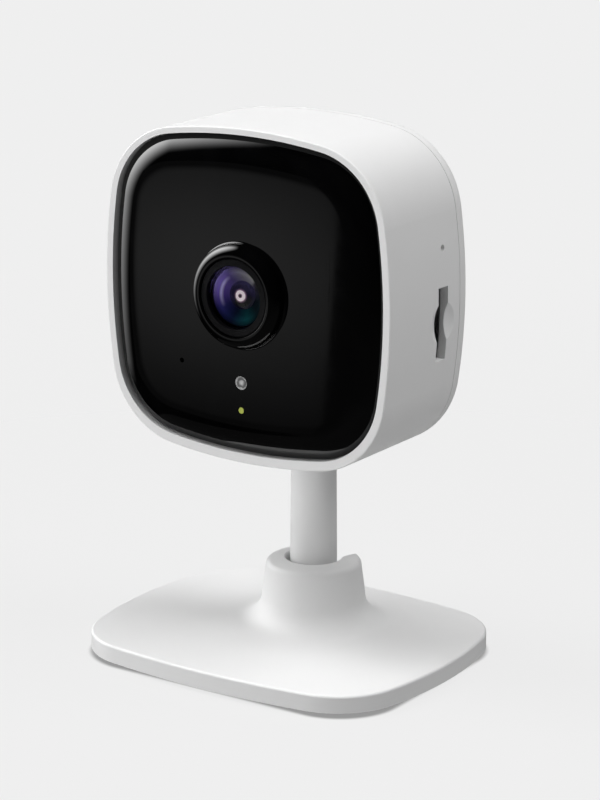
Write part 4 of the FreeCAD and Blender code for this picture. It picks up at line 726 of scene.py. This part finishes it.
def ribbed_barrel():
    """Matt black with fine turned rings round the lens axis: height = sin(24 * distance)."""
    material, tree, shader = new_material("ribbed_barrel")
    away = away_from(tree, round_axis(tree))
    wander = noise(tree, 1500.0, 3.0)
    rings = maths(tree, "SINE", maths(tree, "MULTIPLY", away, 24.0))
    height = maths(tree, "MULTIPLY_ADD", wander, 0.3, rings)
    tree.links.new(between(tree, wander, (0.003, 0.003, 0.003), (0.007, 0.007, 0.008)),
                   shader.inputs["Base Color"])
    tree.links.new(between(tree, wander, 0.3, 0.5), shader.inputs["Roughness"])
    shader.inputs["Specular IOR Level"].default_value = 0.12
    bumped(tree, shader, height, 0.00001)
    return material


stands_for(front_panel(), "front_panel")
stands_for(lens_bezel(), "lens_bezel")
stands_for(lens_front_dome(), "lens_front_glass")
stands_for(lens_cone(), "lens_baffle", cone_painted_reflections())
stands_for(lens_pupil(), "lens_middle_glass", pupil_painted_ring())
frame["nodes"]["sensor_window"].material_slots[0].material = frosted_window()
frame["nodes"]["lens_barrel"].material_slots[0].material = ribbed_barrel()


# ---------------------------------------------------------------- studio

# The lamps' strengths in watts, and the light that the surround gives from below.
LAMPS = {"key_high": 18.6, "overhead": 11.6, "front": 4.0, "right_high": 3.1, "left_low": 2.4}
FROM_BELOW = 0.70

# The floor's own colour and light, and the backdrop's brightness.
FLOOR_MATT = 0.078
FLOOR_GLOW = 0.772
BACKDROP = 0.864

# What polished faces mirror: the side card, the front card, and the surround's share.
GLEAM = 9.0
CARD = 0.36
DIM = 0.06

# The footprint's corner centres, and the distances from them between which the painted contact
# shadow under the edge, a share of the floor's glow, eases to full glow. Then the distances over
# which it fades out.
CORNERS = (0.0204, 0.0140, 0.0)
PAINTED_SHADOW_TO = 0.0110
PAINTED_SHADOW_END = 0.0124
PAINTED_SHADOW_SHARE = 0.36
FADE_FROM = 0.10
FADE_TO = 0.34


def stage_sheet(name, corners):
    """A flat sheet of the studio: no sheen, and a white glow whose strength is set later."""
    mesh = bpy.data.meshes.new(name)
    mesh.from_pydata(corners, [], [(0, 1, 2, 3)])
    sheet = bpy.data.objects.new(name, mesh)
    bpy.context.scene.collection.objects.link(sheet)
    material, tree, shader = new_material(name)
    shader.inputs["Specular IOR Level"].default_value = 0.0
    shader.inputs["Emission Color"].default_value = (1.0, 1.0, 1.0, 1.0)
    mesh.materials.append(material)
    return sheet, tree, shader


def eased(tree, value, start, end, low, high):
    """A value that eases from low to high as the given one goes from start to end."""
    return wire(tree, "ShaderNodeMapRange",
                {"Value": value, "From Min": start, "From Max": end, "To Min": low,
                 "To Max": high}, interpolation_type="SMOOTHSTEP").outputs[0]


def studio_floor():
    """The pale floor: matt, partly self-lit, with a painted contact shadow under the base's edge,
    fading with distance.

    Distance from the footprint's corners is the length of (|x|, |y|) less the corner's place,
    each part taken as nought where it is negative.
    """
    floor, tree, shader = stage_sheet("floor", [(-2, -2, 0), (2, -2, 0), (2, 2, 0), (-2, 2, 0)])
    shader.inputs["Base Color"].default_value = (FLOOR_MATT, FLOOR_MATT, FLOOR_MATT, 1.0)
    shader.inputs["Roughness"].default_value = 0.9
    where = place_of(tree)
    folded = wire(tree, "ShaderNodeVectorMath", {0: where}, operation="ABSOLUTE")
    outside = wire(tree, "ShaderNodeVectorMath",
                   {0: folded.outputs[0], 1: CORNERS}, operation="SUBTRACT")
    beyond = wire(tree, "ShaderNodeVectorMath",
                  {0: outside.outputs[0], 1: (0.0, 0.0, 0.0)}, operation="MAXIMUM")
    near = wire(tree, "ShaderNodeVectorMath", {0: beyond.outputs[0]}, operation="LENGTH")
    # Painted contact shadow: the glow drops to a share of itself round the base's footprint.
    glow = eased(tree, near.outputs["Value"], PAINTED_SHADOW_TO, PAINTED_SHADOW_END,
                 PAINTED_SHADOW_SHARE * FLOOR_GLOW, FLOOR_GLOW)
    tree.links.new(glow, shader.inputs["Emission Strength"])
    away = wire(tree, "ShaderNodeVectorMath", {0: where}, operation="LENGTH")
    fade = eased(tree, away.outputs["Value"], FADE_FROM, FADE_TO, 0.0, 1.0)
    clear = tree.nodes.new("ShaderNodeBsdfTransparent")
    blend = wire(tree, "ShaderNodeMixShader", {0: fade})
    out = next(item for item in tree.nodes if item.type == "OUTPUT_MATERIAL")
    tree.links.new(shader.outputs[0], blend.inputs[1])
    tree.links.new(clear.outputs[0], blend.inputs[2])
    tree.links.new(blend.outputs[0], out.inputs["Surface"])
    floor.visible_glossy = False
    floor.visible_diffuse = False


def gleam_card(name, corners, middle, reach, bright, dim):
    """A card that only polished faces mirror: it glows softly round its middle.

    The glow runs from bright to dim as the place, less the middle and divided by the reach
    along each axis, goes from nought to a length of one.
    """
    card, tree, shader = stage_sheet(name, corners)
    shader.inputs["Base Color"].default_value = (0.0, 0.0, 0.0, 1.0)
    spot = wire(tree, "ShaderNodeVectorMath", {0: place_of(tree), 1: middle},
                operation="SUBTRACT")
    wide = wire(tree, "ShaderNodeVectorMath", {0: spot.outputs[0], 1: reach}, operation="DIVIDE")
    away = wire(tree, "ShaderNodeVectorMath", {0: wide.outputs[0]}, operation="LENGTH")
    glow = eased(tree, away.outputs["Value"], 0.0, 1.0, bright, dim)
    tree.links.new(glow, shader.inputs["Emission Strength"])
    card.visible_camera = False
    card.visible_diffuse = False
    card.visible_shadow = False
    card.visible_transmission = False


def studio_world():
    """A pale backdrop for the eye, soft light from below, and little for polished faces."""
    world = bpy.data.worlds.new("studio")
    bpy.context.scene.world = world
    world.use_nodes = True
    tree = world.node_tree
    tree.nodes.clear()
    path = tree.nodes.new("ShaderNodeLightPath")
    rise = wire(tree, "ShaderNodeSeparateXYZ",
                {0: wire(tree, "ShaderNodeTexCoord").outputs["Generated"]}).outputs["Z"]
    light = wire(tree, "ShaderNodeMapRange",
                 {"Value": rise, "From Min": -0.1, "From Max": -0.5, "To Min": 0.0,
                  "To Max": FROM_BELOW}).outputs[0]
    lost = maths(tree, "MULTIPLY", path.outputs["Is Glossy Ray"], 1.0 - DIM)
    kept = maths(tree, "MULTIPLY", light, maths(tree, "SUBTRACT", 1.0, lost))
    more = maths(tree, "SUBTRACT", BACKDROP, kept)
    strength = maths(tree, "MULTIPLY_ADD", path.outputs["Is Camera Ray"], more, kept)
    shown = wire(tree, "ShaderNodeBackground", {"Color": (1, 1, 1, 1), "Strength": strength})
    out = tree.nodes.new("ShaderNodeOutputWorld")
    tree.links.new(shown.outputs[0], out.inputs[0])


def softbox(name, place, aim, size, power):
    """A soft rectangular lamp that lights without being mirrored."""
    light = bpy.data.lights.new(name, "AREA")
    light.shape = "RECTANGLE"
    light.size, light.size_y = size
    light.energy = power
    lamp = bpy.data.objects.new(name, light)
    bpy.context.scene.collection.objects.link(lamp)
    lamp.location = place
    lamp.rotation_euler = (Vector(aim) - Vector(place)).to_track_quat("-Z", "Y").to_euler()
    lamp.visible_glossy = False
    lamp.visible_transmission = False


studio_floor()
gleam_card("front_card", [(-0.420, -0.340, -0.110), (-0.202, -0.340, -0.110),
                          (-0.187, -0.340, 0.080), (-0.420, -0.340, 0.080)],
           (-0.240, -0.340, -0.016), (0.115, 1.0, 0.062), CARD, 0.1 * CARD)
gleam_card("side_card", [(-0.75, -1.1, -0.6), (-0.75, 0.8, -0.6),
                         (-0.75, 0.8, 1.5), (-0.75, -1.1, 1.5)],
           (-0.75, -0.12, 0.62), (1.0, 0.75, 0.95), GLEAM, 0.0)
studio_world()
MIDDLE = (0, 0, 0.05)
softbox("left_low", (-0.95, -0.3, 0.15), MIDDLE, (0.5, 0.5), LAMPS["left_low"])
softbox("overhead", (0.24, 0.0, 1.6), MIDDLE, (1.2, 1.2), LAMPS["overhead"])
softbox("front", (-0.25, -0.95, 0.25), MIDDLE, (0.7, 0.7), LAMPS["front"])
softbox("right_high", (0.55, 0.15, 0.75), MIDDLE, (0.5, 0.5), LAMPS["right_high"])
softbox("key_high", (-0.9, -0.5, 1.65), MIDDLE, (1.0, 1.0), LAMPS["key_high"])

# The camera: its bearing from -Y towards +X and its height over the level, in degrees, how far
# it stands from the aim point, in metres. The lens's focus and centre are in parts of a frame
# 600 wide and 800 high, and the sensor is 36 mm.
BEARING = math.radians(34.243)
HEIGHT = math.radians(15.732)
AIM = Vector((0, 0, 0.045))
STAND_OFF = 0.52435
FRAME_WIDE = 600
FRAME_HIGH = 800
FOCUS = 2912.38
SENSOR = 36
LENS_CENTRE = (288.72, 413.81)

back = Vector((math.sin(BEARING) * math.cos(HEIGHT), -math.cos(BEARING) * math.cos(HEIGHT),
               math.sin(HEIGHT)))
lens = bpy.data.cameras.new("view")
view = bpy.data.objects.new("view", lens)
bpy.context.scene.collection.objects.link(view)
view.location = AIM + back * STAND_OFF
view.rotation_euler = back.to_track_quat("Z", "Y").to_euler()
lens.sensor_width = SENSOR
lens.lens = FOCUS * SENSOR / FRAME_HIGH
lens.shift_x = (FRAME_WIDE / 2 - LENS_CENTRE[0]) / FRAME_HIGH
lens.shift_y = (LENS_CENTRE[1] - FRAME_HIGH / 2) / FRAME_HIGH
lens.clip_start = 0.01
bpy.context.scene.camera = view
bpy.context.scene.view_settings.view_transform = "Standard"
